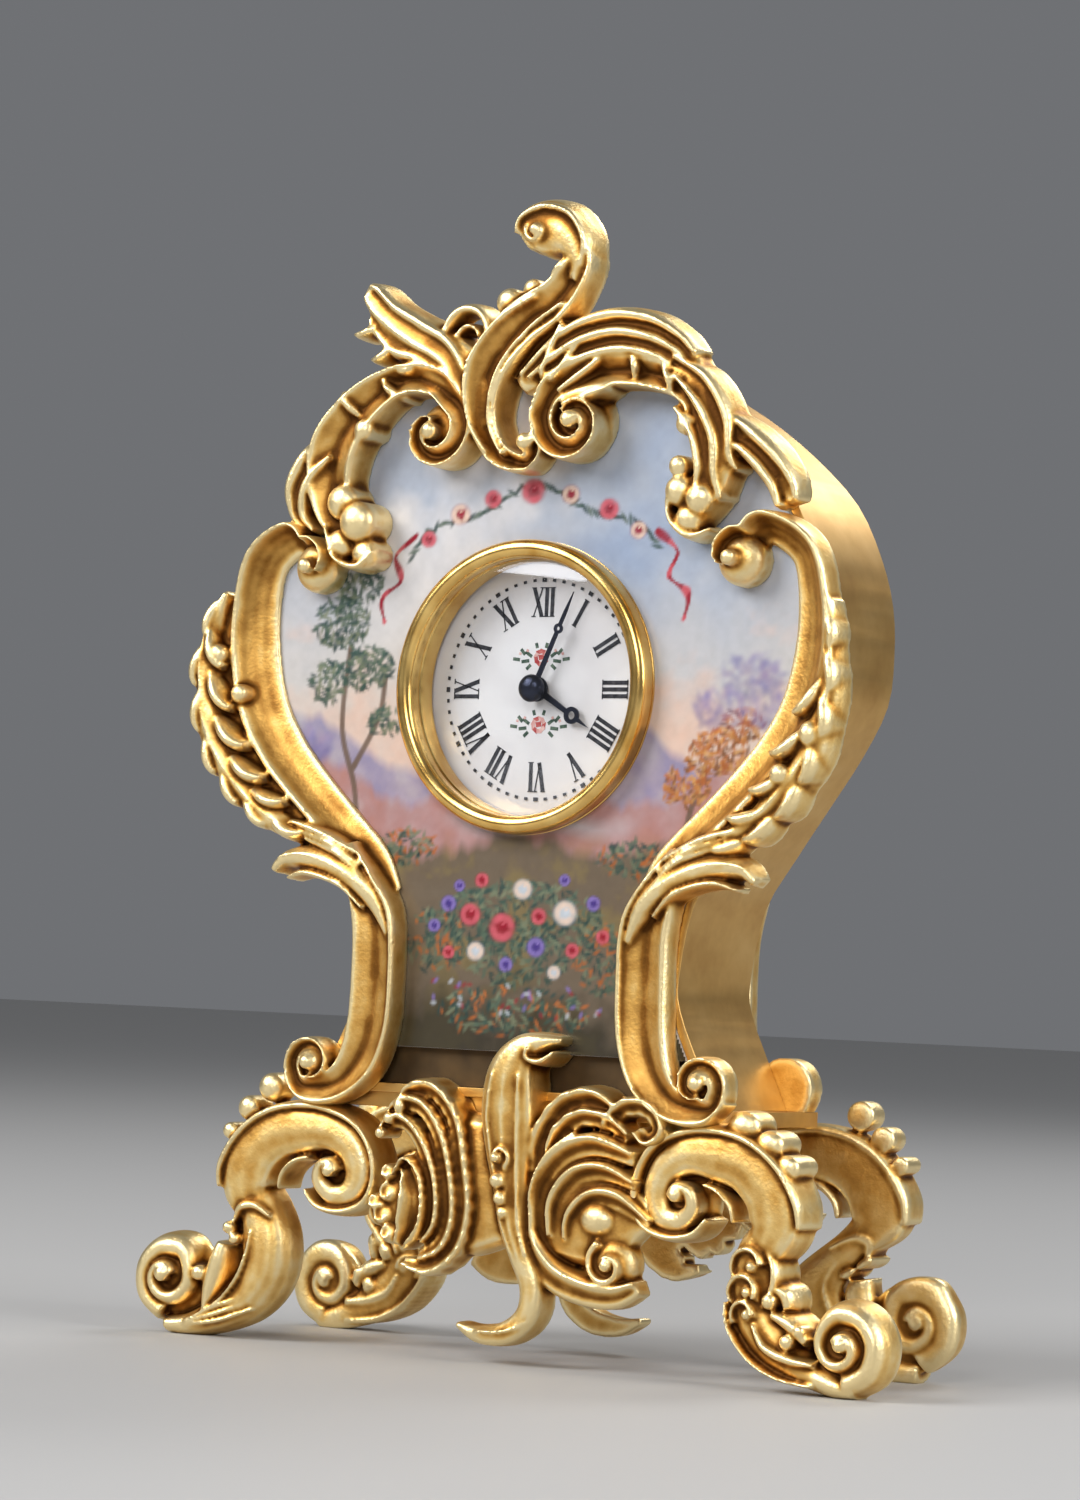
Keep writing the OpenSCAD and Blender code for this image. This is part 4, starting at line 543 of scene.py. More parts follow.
def ease(node, name, width):
    """Copy a CAD piece of gilt sheet and round its edges, as a file and a burnisher do."""
    work = bmesh.new()
    work.from_mesh(frame["nodes"][node].data)
    bmesh.ops.remove_doubles(work, verts=work.verts, dist=WELD)
    bmesh.ops.dissolve_limit(work, angle_limit=FLAT, verts=work.verts, edges=work.edges,
                             use_dissolve_boundaries=False)
    edges = [e for e in work.edges if len(e.link_faces) == 2 and e.calc_face_angle() > SHARP_EDGE]
    bmesh.ops.bevel(work, geom=edges, offset=width * MM, segments=2, profile=0.5, affect="EDGES", material=-1,
                    clamp_overlap=True)
    bmesh.ops.triangulate(work, faces=[f for f in work.faces if len(f.verts) > 4])
    finish_piece(name, work, node, satin_gilt, EASED_CREASE)


def clouded(name, values, scale, detail, tones, satin=None):
    """A material whose colour, and whose roughness where asked, follow one noise."""
    made, tree = new_material(name, values)
    place = put(tree, "TexCoord").outputs["Object"]
    noise = put(tree, "TexNoise", {"Scale": scale, "Detail": detail}, {"Vector": place}).outputs["Fac"]
    colour_by(tree, noise, tones)
    if satin:
        roughness_by(tree, noise, *satin)
    return made


ease("base_plate", "base_plate_casting", 0.22)
ease("case_band", "case_wall", 0.16)
# A near-black material: painted shade for the front plate, where it shows through the gaps.
painted_shade_sheet = clouded("painted_shade_plate", {"Metallic": 0.6, "Roughness": 0.6}, 400, 2,
                 ((0, (0.03, 0.018, 0.008)), (1, (0.12, 0.07, 0.025))))

# Front frames. A brass casting of C-scrolls and fluted leaves borders each side of the enamel panel,
# over the front edge of the case band. The two are modelled by hand, so they aren't quite alike.
COVE = (
    (-1, 0), (-0.99, 0.16), (-0.9, 0.2), (-0.4, 0.26), (0.05, 0.42), (0.4, 0.66), (0.62, 0.92), (0.74, 1),
    (0.88, 0.96), (0.97, 0.66), (1, 0))
main_scroll = [
    *curl((24.6, 78), 0.9, 2.5, 200, 60, 0.6, 1.1, 4.8, 4.5, 5), (27.6, 81.1, 1.6, 4.2), (31.2, 78.8, 2, 3.4),
    (32.4, 74, 2.3, 2.9), (32.3, 68.8, 2.5, 2.7), (31, 63.8, 2.5, 2.7), (28.4, 59.6, 2.4, 2.7),
    (24.8, 55.8, 2.2, 2.7), (20.8, 52.2, 2, 2.7), (16.8, 48.8, 1.6, 2.5), (14.6, 45.4, 1, 2.3)]
waist_scroll = [
    (20.2, 49.2, 0.5, 2.2), (17.6, 46.8, 1.8, 2.6), (15.9, 42.4, 2.6, 2.5), (15.6, 37.4, 2.8, 2.4),
    (15.9, 32.6, 2.7, 2.4), (17.2, 28.8, 2.2, 2.5), (19.6, 26.4, 1.6, 2.6),
    *curl((22.4, 28.2), 2.5, 0.9, -70, 280, 1.15, 0.55, 2.8, 3.4, 9)]
tongue = ((-1.15, 0, 0.3, 0.8), (-0.5, 0.1, 0.48, 0.97), (0.1, 0.12, 0.5, 1.03), (0.6, 0, 0.42, 1),
          (0.95, -0.22, 0.26, 0.92))


def flame(wax, x, z, heading, size, rise):
    """A small fleshy tongue that laps over a scroll."""
    a = math.radians(heading)
    across, up = math.cos(a), math.sin(a)
    carve(wax, [(x + size * (t * across - b * up), z + size * (t * up + b * across), w * size, rise * h)
                for t, b, w, h in tongue], BAR, FRONT)


def plume(wax, line, veins):
    """A lobed leaf along a line, with a low rib off its middle."""
    carve(wax, line, BAR, FRONT, veins=veins, lean=0.4, groove=0.16, bite=0.12)
    carve(wax, [(x + 0.25 * w, z + 0.25 * w, 0.3, h + 0.1) for x, z, w, h in line], BAR, FRONT)


def frame_wax(left):
    """The strokes of one frame, drawn for the right side."""
    wax = bmesh.new()
    carve(wax, main_scroll, COVE, FRONT)
    carve(wax, waist_scroll, DISHED, FRONT)
    pearl(wax, 24.6, 78, 2.6, 3.4, FRONT)
    pearl(wax, 24.5, 78, 0.8, 5, FRONT)
    pearl(wax, 22.4, 28.2, 2.7, 2, FRONT)
    pearl(wax, 22.5, 28.3, 0.75, 3.6, FRONT)
    carve(wax, ((18.6, 50.4, 0.3, 2.6), (15.9, 47.2, 0.5, 3.1), (13.6, 43.4, 0.5, 3), (13.2, 37.4, 0.45, 2.9),
                (13.6, 31.6, 0.45, 2.8), (15.4, 27.4, 0.45, 2.9), (19, 24.9, 0.45, 3), (23, 24.6, 0.4, 3),
                (25.4, 26.6, 0.3, 2.8)), BAR, FRONT)
    if left:
        carve(wax, ((34.2, 74.6, 0.9, 1.6), (35.3, 70.4, 1.4, 1.8), (35.4, 66, 1.5, 1.8),
                    (34.6, 62, 1.5, 1.8), (32.4, 58.2, 1.5, 1.8), (29.2, 54.9, 1.4, 1.8),
                    (25.4, 52.4, 0.8, 1.8)), SOFT, FRONT)
        plume(wax, ((35.6, 75.6, 0.5, 2.4), (37, 72.4, 1.4, 3), (37.3, 68.4, 2, 3.4), (37, 64, 2.2, 3.6),
                    (35.4, 59.6, 2.3, 3.7), (32.4, 55.8, 2.1, 3.6), (28.4, 52.6, 1.6, 3.4),
                    (23.6, 50.8, 0.8, 2.8)), 5)
        for lap in ((26.4, 51.6, 205, 2, 3.6), (30.4, 53.2, 235, 2, 3.7), (28.6, 54.6, 200, 2, 4),
                    (33.6, 55.8, 250, 2.2, 3.8), (31.4, 57.4, 212, 2.2, 4.2), (36.2, 59.2, 265, 2.3, 3.8),
                    (33.6, 61, 222, 2.3, 4.3), (37.8, 63.6, 280, 2.3, 3.8), (35.2, 65.2, 238, 2.2, 4.2),
                    (38.3, 68.2, 290, 2.2, 3.6), (36.2, 69.6, 250, 2.1, 4), (37.2, 72.6, 285, 1.9, 3.4)):
            flame(wax, *lap)
        pearl(wax, 35.8, 69.2, 1.1, 3.9, FRONT)
        pearl(wax, 32.9, 65.2, 1, 3.7, FRONT)
    else:
        plume(wax, ((34.6, 74, 0.5, 2.2), (34.7, 69.6, 1.1, 2.8), (34.6, 65.4, 1.6, 3.1),
                    (33.6, 61.2, 2, 3.4), (31.6, 57.4, 2.1, 3.5), (28.4, 54, 1.8, 3.4), (24.4, 51.4, 1.1, 3),
                    (21.6, 50.2, 0.5, 2.6)), 5)
        for lap in ((24.6, 50.8, 200, 1.9, 3.3), (28.2, 52.4, 225, 2, 3.5), (26.6, 53.6, 195, 1.9, 3.7),
                    (31.2, 55.2, 245, 2.1, 3.6), (29, 56.6, 208, 2, 3.9), (33.2, 58.8, 262, 2.1, 3.7),
                    (31, 60.4, 220, 2, 4), (34.5, 63, 278, 2, 3.6), (32.8, 64.6, 235, 1.9, 3.8),
                    (34.9, 67.2, 285, 1.9, 3.3), (34.7, 71, 280, 1.7, 3)):
            flame(wax, *lap)
        pearl(wax, 33.3, 61.4, 1.3, 4, FRONT, 0.8)
        pearl(wax, 30.4, 57.6, 1, 4.1, FRONT)
    for bend in (0, 1, 2):
        carve(wax, ((26 - bend, 52.4 - bend * 0.9, 0.3, 3.1), (21.8 - bend, 51.2 - bend, 0.65, 3.5),
                    (17.8 - bend * 0.6, 49.4 - bend * 1.3, 0.35, 3)), BAR, FRONT)
    plume(wax, ((13.9, 41.4, 0.6, 2.6), (15.6, 44.8, 1.5, 3.2), (18.8, 47.2, 1.8, 3.5),
                (22.8, 48.6, 1.6, 3.5), (26.2, 48.6, 1.1, 3.3), (27.8, 47.3, 0.6, 3)), 0)
    carve(wax, ((16.8, 43.8, 0.25, 3), (19.4, 46.1, 0.5, 3.6), (23.4, 47.2, 0.5, 3.7), (26, 46.6, 0.3, 3.2)),
          BAR, FRONT)
    return wax


for node, left in (("frame_left", True), ("frame_right", False)):
    wax = frame_wax(left)
    if left:
        bmesh.ops.transform(wax, matrix=Matrix.Diagonal((-1, 1, 1, 1)), verts=wax.verts)
    cast(node + "_casting", wax, node)

# Crest. One casting, a tall S-scroll with a wing of acanthus to each side, bridges the two frames
# over the top of the panel.
CREST_STEP = 0.22
left_limb = [
    (-20.4, 80.8, 1.8, 3.4), (-22.6, 85.2, 2.7, 3.6), (-22.3, 90, 3.1, 4), (-19, 94, 2.5, 4.2),
    (-14.6, 96.4, 1.8, 4.2), (-10.4, 96.2, 1.6, 4.2),
    *curl((-10.2, 91.2), 3.8, 0.9, 60, -270, 1.5, 0.55, 4.2, 4.8, 11)]
finial = [
    *curl((0.6, 89.8), 0.8, 2.1, 20, -100, 0.5, 0.9, 3.8, 4, 5), (-2.4, 88.8, 1.4, 4.2),
    (-4.3, 92.4, 1.8, 4.4), (-3.8, 97.2, 2.5, 4.6), (-0.6, 101.2, 2.6, 4.4), (3.4, 103.8, 2.3, 4.1),
    (5.9, 107, 1.6, 3.9), (5.8, 108.8, 1.2, 3.7)]
finial_head = (
    (5.2, 105.6, 0.8, 3.4), (5.8, 107.4, 1.6, 3.8), (5, 109.6, 2.3, 4), (3, 110.9, 2.9, 4),
    (0.6, 110.9, 2.8, 4), (-0.9, 110.2, 1.8, 3.7))
right_scroll = [
    (20, 91.4, 0.8, 3.2), (18, 94.6, 1.4, 3.6), (13.6, 96.2, 1.6, 3.8), (8.8, 96.4, 1.7, 4),
    (4.2, 95.2, 1.7, 4.2), *curl((6, 91.8), 3.6, 0.9, 160, 500, 1.5, 0.55, 4.2, 4.8, 11)]
left_wing = (
    (-4.4, 91.6, 1.2, 3.2), (-6.4, 96, 2.7, 3.6), (-10, 98.6, 3.1, 3.7), (-13.8, 100.8, 2.8, 3.7),
    (-16.8, 103.2, 2, 3.6), (-18.7, 105.2, 1.1, 3.4), (-18.2, 106.2, 0.7, 3.4))
right_wing = (
    (-0.6, 95.4, 1.2, 3.2), (4, 98.6, 2.4, 3.5), (9.4, 99.8, 2.6, 3.5), (14, 99.2, 2.2, 3.5),
    (17.4, 97.9, 1.5, 3.3), (19.4, 96.6, 0.7, 3))
right_limb = (
    (17.6, 97, 0.9, 3.2), (20.6, 93.6, 1.8, 3.5), (21.9, 89.4, 2.3, 3.7), (21.3, 85.4, 2.2, 3.7),
    (19.6, 82.4, 1.6, 3.4))
locks = (
    ((-0.4, 96.4, 0.4, 3.8), (4.6, 100.4, 0.85, 4.1), (9.6, 101.9, 0.95, 4.2), (14.2, 101.4, 0.9, 4),
     (17.6, 99.6, 0.7, 3.7), (19.3, 97.8, 0.5, 3.4)),
    ((0.6, 96, 0.4, 3.9), (5.4, 99, 0.85, 4.3), (10, 100.2, 0.9, 4.3), (14.2, 99.6, 0.85, 4.1),
     (17.2, 98.2, 0.6, 3.8), (18.8, 96.7, 0.4, 3.4)),
    ((2, 96, 0.35, 3.8), (6.4, 97.7, 0.7, 4.2), (10.6, 98.5, 0.8, 4.2), (14.2, 98, 0.7, 4),
     (16.8, 96.9, 0.4, 3.6)),
    ((-5.4, 94.4, 0.4, 3.7), (-8.4, 99.6, 0.8, 4), (-12.2, 102, 0.9, 4), (-15.4, 103.8, 0.85, 3.9),
     (-17.6, 105.7, 0.7, 3.8), (-18.9, 106.3, 0.4, 3.5)),
    ((-6.4, 94.6, 0.4, 3.7), (-9.6, 98.2, 0.8, 4), (-13.2, 100.2, 0.9, 4), (-16.4, 102.2, 0.8, 3.8),
     (-18.8, 104.2, 0.6, 3.6), (-19.4, 105.3, 0.4, 3.5)),
    ((-8.2, 96.4, 0.3, 3.7), (-12, 98.4, 0.75, 4), (-15.4, 99.4, 0.85, 3.9), (-17.6, 101.2, 0.6, 3.6),
     (-18.8, 102.9, 0.4, 3.4)))
limb_locks = (
    ((17, 97.6, 0.4, 3.7), (20.8, 95.4, 0.85, 4), (23.2, 91.6, 0.9, 4), (23.6, 88, 0.6, 3.8),
     (24.4, 86.4, 0.35, 3.4)),
    ((17.2, 95.8, 0.4, 3.8), (20, 93, 0.85, 4.2), (21.9, 89.6, 0.95, 4.3), (22.2, 86, 0.8, 4.1),
     (22.8, 83.6, 0.4, 3.6)),
    ((17.2, 92.8, 0.4, 3.6), (19.4, 90.2, 0.8, 4.1), (20.4, 87, 0.9, 4.2), (20.2, 84.6, 0.6, 4)),
    ((-23.4, 91.4, 0.5, 3.3), (-26, 89.2, 1.1, 3.7), (-27.6, 86.2, 1.1, 3.7), (-27.4, 83.6, 0.6, 3.3),
     (-26.2, 82, 0.4, 3)),
    ((-22.8, 89.2, 0.4, 3.5), (-25.4, 86.6, 0.9, 3.8), (-26, 83.6, 0.8, 3.6), (-24.6, 81.6, 0.4, 3.3)),
    ((23, 92, 0.5, 3.2), (25.8, 90, 1, 3.6), (28.4, 87.8, 1, 3.6), (30.2, 85.4, 0.7, 3.3),
     (30.6, 83.4, 0.4, 2.9)),
    ((22.8, 89.6, 0.4, 3.3), (25.6, 87.8, 0.9, 3.7), (28, 85.2, 0.9, 3.6), (28.8, 82.8, 0.5, 3.2)))

wax = bmesh.new()
for line in (left_limb, finial, right_scroll):
    carve(wax, line, DISHED, FRONT)
carve(wax, finial_head, SOFT, FRONT)
carve(wax, [(x - 0.9 * w, z + 0.15 * w, 0.42, h + 0.2) for x, z, w, h in finial[6:11]], BAR, FRONT, veins=24,
      lean=0, groove=0.2, bite=0.25)
carve(wax, [(x + 0.5 * w, z - 0.2 * w, 0.4, h + 0.1) for x, z, w, h in finial[6:11]], BAR, FRONT)
for line in (left_wing, right_wing, right_limb):
    carve(wax, line, SOFT, FRONT)
for line in locks + limb_locks:
    carve(wax, line, BAR, FRONT)
for line in (((-23.4, 90.2, 0.6, 2.8), (-25.8, 88, 1.7, 3.1), (-27, 84.6, 1.6, 3.1), (-26.2, 81.9, 0.7, 2.8)),
             ((22.4, 91.2, 0.6, 2.8), (26, 88.8, 1.6, 3), (29, 85.8, 1.5, 3), (30.2, 83.4, 0.7, 2.6))):
    carve(wax, line, SOFT, FRONT)
for high, r, wide, rise in ((100.8, (2.5, 2.6), 0.7, 3.6), (100.4, (1.3, 1.3), 0.4, 3.2)):
    ring = [math.radians(a) for a in range(200, -20, -25)]
    carve(wax, [(-7 + r[0] * math.cos(a), high + r[1] * math.sin(a), wide, rise) for a in ring], BAR, FRONT)
for a in (66, 49, 32, 15):
    a = math.radians(a)
    carve(wax, [(0.4 + r * math.cos(a), 92.2 + r * math.sin(a), w, 4.2)
                for r, w in ((4.6, 0.35), (6.6, 0.65), (8.6, 0.6), (10, 0.3))], BAR, FRONT)
carve(wax, ((6.2, 107, 0.3, 3.9), (6.6, 109.4, 0.5, 4.3), (5, 112, 0.6, 4.5), (2, 112.9, 0.6, 4.5),
            (-0.6, 112, 0.5, 4.4), (-1.2, 110.4, 0.4, 4.3)), BAR, FRONT)
carve(wax, curl((1.2, 110.6), 1.3, 0.4, 160, 470, 0.45, 0.35, 4.4, 4.8, 8), BAR, FRONT)
for x, z, heading, size in ((-19, 101.6, 205, 1.4), (-16.8, 99.2, 215, 1.5), (-13.6, 97.6, 200, 1.4),
                            (16.4, 95.6, -60, 1.4), (12.6, 97, -75, 1.3), (-15.4, 95.6, 150, 1.6),
                            (-20.6, 94.4, 130, 1.5), (3.6, 107, 235, 1.1)):
    flame(wax, x, z, heading, size, 4)
for bead in ((-21, 84.4, 1.9, 4.3), (-18.9, 82.4, 2.1, 4.8), (-21.2, 80.2, 1.6, 4), (-18.2, 79.2, 1.6, 3.8),
             (18.2, 84.6, 1.6, 4.2), (20.6, 83.8, 1.6, 4.4), (19.3, 81.9, 1.5, 4), (18, 87, 1.1, 3.9),
             (18.6, 91, 1.1, 3.9), (-2.4, 103.8, 1.5, 3.6), (0.2, 105, 1.1, 3.3), (-10.2, 91.2, 0.9, 5),
             (6, 91.8, 0.9, 5), (0.8, 89.8, 0.9, 4.6), (1.2, 110.6, 0.5, 4.9), (-18.6, 91.6, 1.1, 4.3)):
    pearl(wax, *bead, FRONT)
for x, z in ((-10.2, 91.2), (6, 91.8)):
    pearl(wax, x, z, 3.4, 3, FRONT)
for line in (((-22.8, 82.2, 0.3, 3.9), (-21.6, 79, 0.5, 4.1), (-18.8, 77.9, 0.5, 4), (-16.8, 79.4, 0.3, 3.8)),
             ((21.9, 80.9, 0.35, 3.6), (19.6, 80.2, 0.5, 3.9), (17.6, 81.6, 0.45, 4),
              (16.9, 83.8, 0.3, 3.8))):
    carve(wax, line, BAR, FRONT)
cast("crest_casting", wax, "crest", CREST_STEP)

# Back scrolls. The waist's lower scroll is repeated at the back edge of the case.
for node, side in (("back_scroll_left", -1), ("back_scroll_right", 1)):
    wax = bmesh.new()
    carve(wax, waist_scroll, DISHED, FRONT)
    pearl(wax, 22.4, 28.2, 2.7, 2, FRONT)
    pearl(wax, 22.5, 28.3, 0.75, 3.6, FRONT)
    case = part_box("case_band")
    mirror = Matrix.Translation((0, (case[0].y + case[1].y) / MM, 0)) @ Matrix.Diagonal((side, -1, 1, 1))
    bmesh.ops.transform(wax, matrix=mirror, verts=wax.verts)
    cast(node + "_casting", wax, node)

# Enamel panel. A copper plate is enamelled white, painted with a garlanded landscape in soft colours,
# and fired again under a clear glaze. The frames, the crest and the bezel hold its edges.
backing = clouded("panel_backing", {"Roughness": 0.3}, 900, 2,
                  ((0, (0.42, 0.36, 0.33)), (1, (0.66, 0.62, 0.60))))
DIAL_Z = (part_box("dial")[0].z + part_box("dial")[1].z) / 2 / MM
CANVAS_STEP = 0.2
GRAINS = 97
low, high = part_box("enamel_panel")
across = np.arange(low.x / MM + 0.05, high.x / MM, CANVAS_STEP)
upward = np.arange(low.z / MM + 0.02, high.z / MM, CANVAS_STEP)
canvas = np.zeros((len(upward), len(across), 3))
at_x, at_z = np.meshgrid(across, upward)


def mottle(scale, seed, octaves=4):
    """Soft cloudy values from 0 to 1 over the whole canvas."""
    total, weight = np.zeros_like(at_x), 0
    for octave in range(octaves):
        grain = np.random.default_rng(seed + octave).random((GRAINS, GRAINS))
        u, v = (at_x + 60) * scale * 2 ** octave, at_z * scale * 2 ** octave
        i, k = np.floor(u).astype(int), np.floor(v).astype(int)
        s, t = u - i, v - k
        s, t = s * s * (3 - 2 * s), t * t * (3 - 2 * t)
        i, k = (i % GRAINS, (i + 1) % GRAINS), (k % GRAINS, (k + 1) % GRAINS)
        near, far = (grain[i[0], row] * (1 - s) + grain[i[1], row] * s for row in k)
        total += (near * (1 - t) + far * t) * 0.5 ** octave
        weight += 0.5 ** octave
    return total / weight


def wash(colour, mask):
    """Lay a colour over the canvas where the mask is above nought."""
    mask = np.clip(mask, 0, 1)[:, :, None]
    canvas[:] = canvas * (1 - mask) + np.array(colour) * mask


def dab(x, z, long, wide, turn, colour, strength=0.8, soft=0.5):
    """One touch of the brush."""
    reach = max(long, wide) * 1.3
    i0, i1 = np.searchsorted(upward, (z - reach, z + reach))
    k0, k1 = np.searchsorted(across, (x - reach, x + reach))
    if i0 == i1 or k0 == k1:
        return
    a = math.radians(turn)
    u = (at_x[i0:i1, k0:k1] - x) * math.cos(a) + (at_z[i0:i1, k0:k1] - z) * math.sin(a)
    v = -(at_x[i0:i1, k0:k1] - x) * math.sin(a) + (at_z[i0:i1, k0:k1] - z) * math.cos(a)
    mask = np.clip((1 - np.hypot(u / long, v / wide)) / soft, 0, 1)[:, :, None] * strength
    canvas[i0:i1, k0:k1] = canvas[i0:i1, k0:k1] * (1 - mask) + np.array(colour) * mask


cloud, fine = mottle(0.09, 11), mottle(0.35, 31)
canvas[:] = (0.35, 0.39, 0.47)
wash((0.52, 0.48, 0.44), (84 - at_z) / 22 + (cloud - 0.5) * 1.2)
wash((0.62, 0.42, 0.33), (70 - at_z) / 18 + (fine - 0.5) * 1.3)
wash((0.60, 0.58, 0.58), (cloud - 0.5) * 5 * np.clip((at_z - 68) / 8, 0, 1))
wash((0.27, 0.33, 0.45), (0.42 - cloud) * 5 * np.clip((at_z - 72) / 8, 0, 1))
wash((0.66, 0.54, 0.42), np.clip(1 - np.hypot((at_x + 3) / 13, (at_z - 63) / 7), 0, 1) * 0.9)
ridge = 61.5 + 3.2 * np.sin(at_x * 0.17 + 0.6) + (mottle(0.22, 51)[0][None, :] - 0.5) * 5
wash((0.17, 0.17, 0.32), np.clip((ridge - at_z) * 0.8, 0, 1) * np.clip(0.35 + fine, 0, 1) * 0.8)
ridge = 57.5 + 2.2 * np.cos(at_x * 0.23) + (mottle(0.4, 61)[0][None, :] - 0.5) * 4
wash((0.40, 0.17, 0.11), np.clip((ridge - at_z) * 0.8, 0, 1) * np.clip(0.3 + fine, 0, 1) * 0.8)
wash((0.42, 0.42, 0.44), np.clip(1 - np.abs(at_z - 52.6 - 0.5 * np.sin(at_x * 0.5)) / 1.5, 0, 1)
     * np.clip(1.4 - np.abs(at_x - 2) / 9, 0, 1) * 0.8)
ridge = 51.2 + 1.4 * np.sin(at_x * 0.31 + 2) + (mottle(0.5, 71)[0][None, :] - 0.5) * 3
wash((0.10, 0.085, 0.05), np.clip((ridge - at_z) * 0.7, 0, 1) * 0.88)
wash((0.20, 0.15, 0.06), np.clip((fine - 0.5) * 6, 0, 1) * np.clip((52 - at_z) / 4, 0, 1) * 0.6)
wash((0.025, 0.022, 0.014), np.clip((38 - at_z) / 6 + (fine - 0.5) * 1.4, 0, 1) * 0.85)
touch = np.random.default_rng(7)


def foliage(x, z, spread, height, count, colours, size=0.6, strength=0.8, soft=0.7):
    """A loose mass of leaf touches, darker below and lighter above."""
    for _ in range(count):
        r, a = math.sqrt(touch.random()), touch.random() * 2 * math.pi
        u, v = r * math.cos(a), r * math.sin(a)
        tint = np.array(colours[int(touch.integers(len(colours)))])
        tint = tint * (0.75 + 0.4 * (v + 1) / 2 + 0.2 * touch.random())
        dab(x + u * spread, z + v * height, size * (0.7 + 0.8 * touch.random()), size * 0.45,
            touch.random() * 180, tint, strength, soft)


TREE = ((0.018, 0.045, 0.042), (0.035, 0.07, 0.055), (0.075, 0.11, 0.075), (0.14, 0.16, 0.10))
AUTUMN = ((0.34, 0.10, 0.025), (0.42, 0.16, 0.045), (0.17, 0.07, 0.03), (0.50, 0.26, 0.09))
VIOLET = ((0.09, 0.085, 0.24), (0.15, 0.14, 0.33), (0.27, 0.19, 0.30))
for line in (((-19.5, 50), (-20.2, 56), (-22, 62), (-21.4, 70)), ((-20.4, 58), (-17.6, 63), (-17, 67)),
             ((18, 49), (19, 54), (20.5, 58))):
    stem = flow([(x, z, 0, 0) for x, z in line], 0.3)
    for x, z in stem[:, :2]:
        dab(x, z, 0.55, 0.42, 80, (0.13, 0.085, 0.06), 0.7)
for mass in ((-22.6, 72.6, 3.4, 2.8, 190), (-19.2, 68, 3.2, 2.2, 150), (-24, 66.6, 2.2, 2.2, 90),
             (-20.4, 76.4, 2.6, 1.8, 90), (-16.8, 62.6, 2, 1.5, 60)):
    foliage(*mass, TREE)
for mass in ((21.6, 59.8, 3.6, 2.2, 150), (18.4, 56.4, 2.8, 2, 110), (24.4, 62.4, 2.4, 1.6, 70)):
    foliage(*mass, AUTUMN)
for mass in ((25.4, 67, 3.4, 2.2, 120), (22, 64, 3, 1.8, 90), (27.6, 63.6, 2.4, 1.8, 70),
             (-25.6, 60, 2.6, 1.8, 70)):
    foliage(*mass, VIOLET, 1.1, strength=0.22, soft=1)
for mass in ((-13.6, 50.2, 3.6, 1.8, 120), (12.8, 49.4, 3.8, 1.8, 120), (-9.6, 40.8, 3.4, 3.2, 140),
             (9.8, 39.6, 3.2, 3.4, 140), (0, 34.2, 9, 2.4, 220)):
    foliage(*mass, TREE + AUTUMN[:1])


def rose(x, z, size, deep, pale):
    """A small painted rose with turned petals."""
    dab(x, z, size, size * 0.9, 0, deep, 0.9, 0.6)
    for k in range(6):
        a = k * 60 + touch.random() * 30
        u, v = size * 0.55 * math.cos(math.radians(a)), size * 0.5 * math.sin(math.radians(a))
        dab(x + u, z + v, size * 0.5, size * 0.28, a + 90, pale, 0.75, 0.6)
    dab(x + 0.1 * size, z + 0.1 * size, size * 0.3, size * 0.22, 30, deep, 0.9, 0.5)
    dab(x + 0.1 * size, z + 0.22 * size, size * 0.2, size * 0.08, 20, pale, 0.9, 0.6)


CRIMSON, PINK, CREAM = (0.26, 0.008, 0.022), (0.55, 0.10, 0.13), (0.66, 0.50, 0.40)
IRIS, LILAC, SILVER = (0.055, 0.03, 0.19), (0.21, 0.15, 0.42), (0.46, 0.50, 0.55)
RED, BLUE, PALE = (CRIMSON, PINK), (IRIS, LILAC), (SILVER, CREAM)
for turn in range(44, 139, 2):
    a = math.radians(turn)
    r = 19.2 + 0.8 * math.sin(math.radians(turn * 9))
    x, z = r * math.cos(a), DIAL_Z + r * math.sin(a)
    dab(x, z, 0.95, 0.3, turn + 90 + touch.uniform(-50, 50), TREE[turn // 2 % 3], 0.85, 0.6)
for turn, size, pale in ((52, 1.15, CREAM), (64, 1.4, PINK), (78, 1.25, CREAM), (91, 1.7, PINK),
                         (105, 1.25, PINK), (117, 1.4, CREAM), (130, 1.15, PINK)):
    a = math.radians(turn)
    rose(19.4 * math.cos(a), DIAL_Z + 19.4 * math.sin(a), size, CRIMSON, pale)
for side in (-1, 1):
    line = ((14, 81.2), (16.4, 79.2), (15.6, 76.8), (17.8, 75), (17.4, 72.6))
    tail = flow([(side * x, z, 0, 0) for x, z in line], 0.2)
    for k, (x, z) in enumerate(tail[:, :2]):
        paint = CRIMSON if k % 14 < 9 else (0.48, 0.07, 0.09)
        dab(x, z, 0.45 + 0.25 * math.sin(k * 0.35), 0.26, 60, paint, 0.85, 0.5)
for mass in ((0, 43.4, 9.6, 3.6, 420), (0, 39.6, 6, 3, 160)):
    foliage(*mass, TREE)
for *bloom, paints in ((-8.2, 44.6, 1.1, BLUE), (-9.8, 42.4, 0.9, BLUE), (-7, 46.4, 0.8, BLUE),
                       (8.6, 45, 1, BLUE), (5.2, 47.2, 0.8, BLUE), (-4.4, 47, 1, RED), (9.8, 41.8, 1, RED),
                       (-5.6, 43.6, 1.5, RED), (0.4, 46.2, 1.3, PALE), (5.4, 44, 1.6, PALE),
                       (2.4, 43.6, 1.1, RED), (-1.8, 42.4, 1.9, RED), (2.2, 40.6, 1.3, BLUE),
                       (-4.8, 40, 1.2, PALE), (6.4, 40.4, 1, RED), (-8, 39.8, 0.9, RED),
                       (-1.2, 38.8, 1, BLUE), (4.4, 38.2, 0.9, PALE)):
    rose(*bloom, *paints)
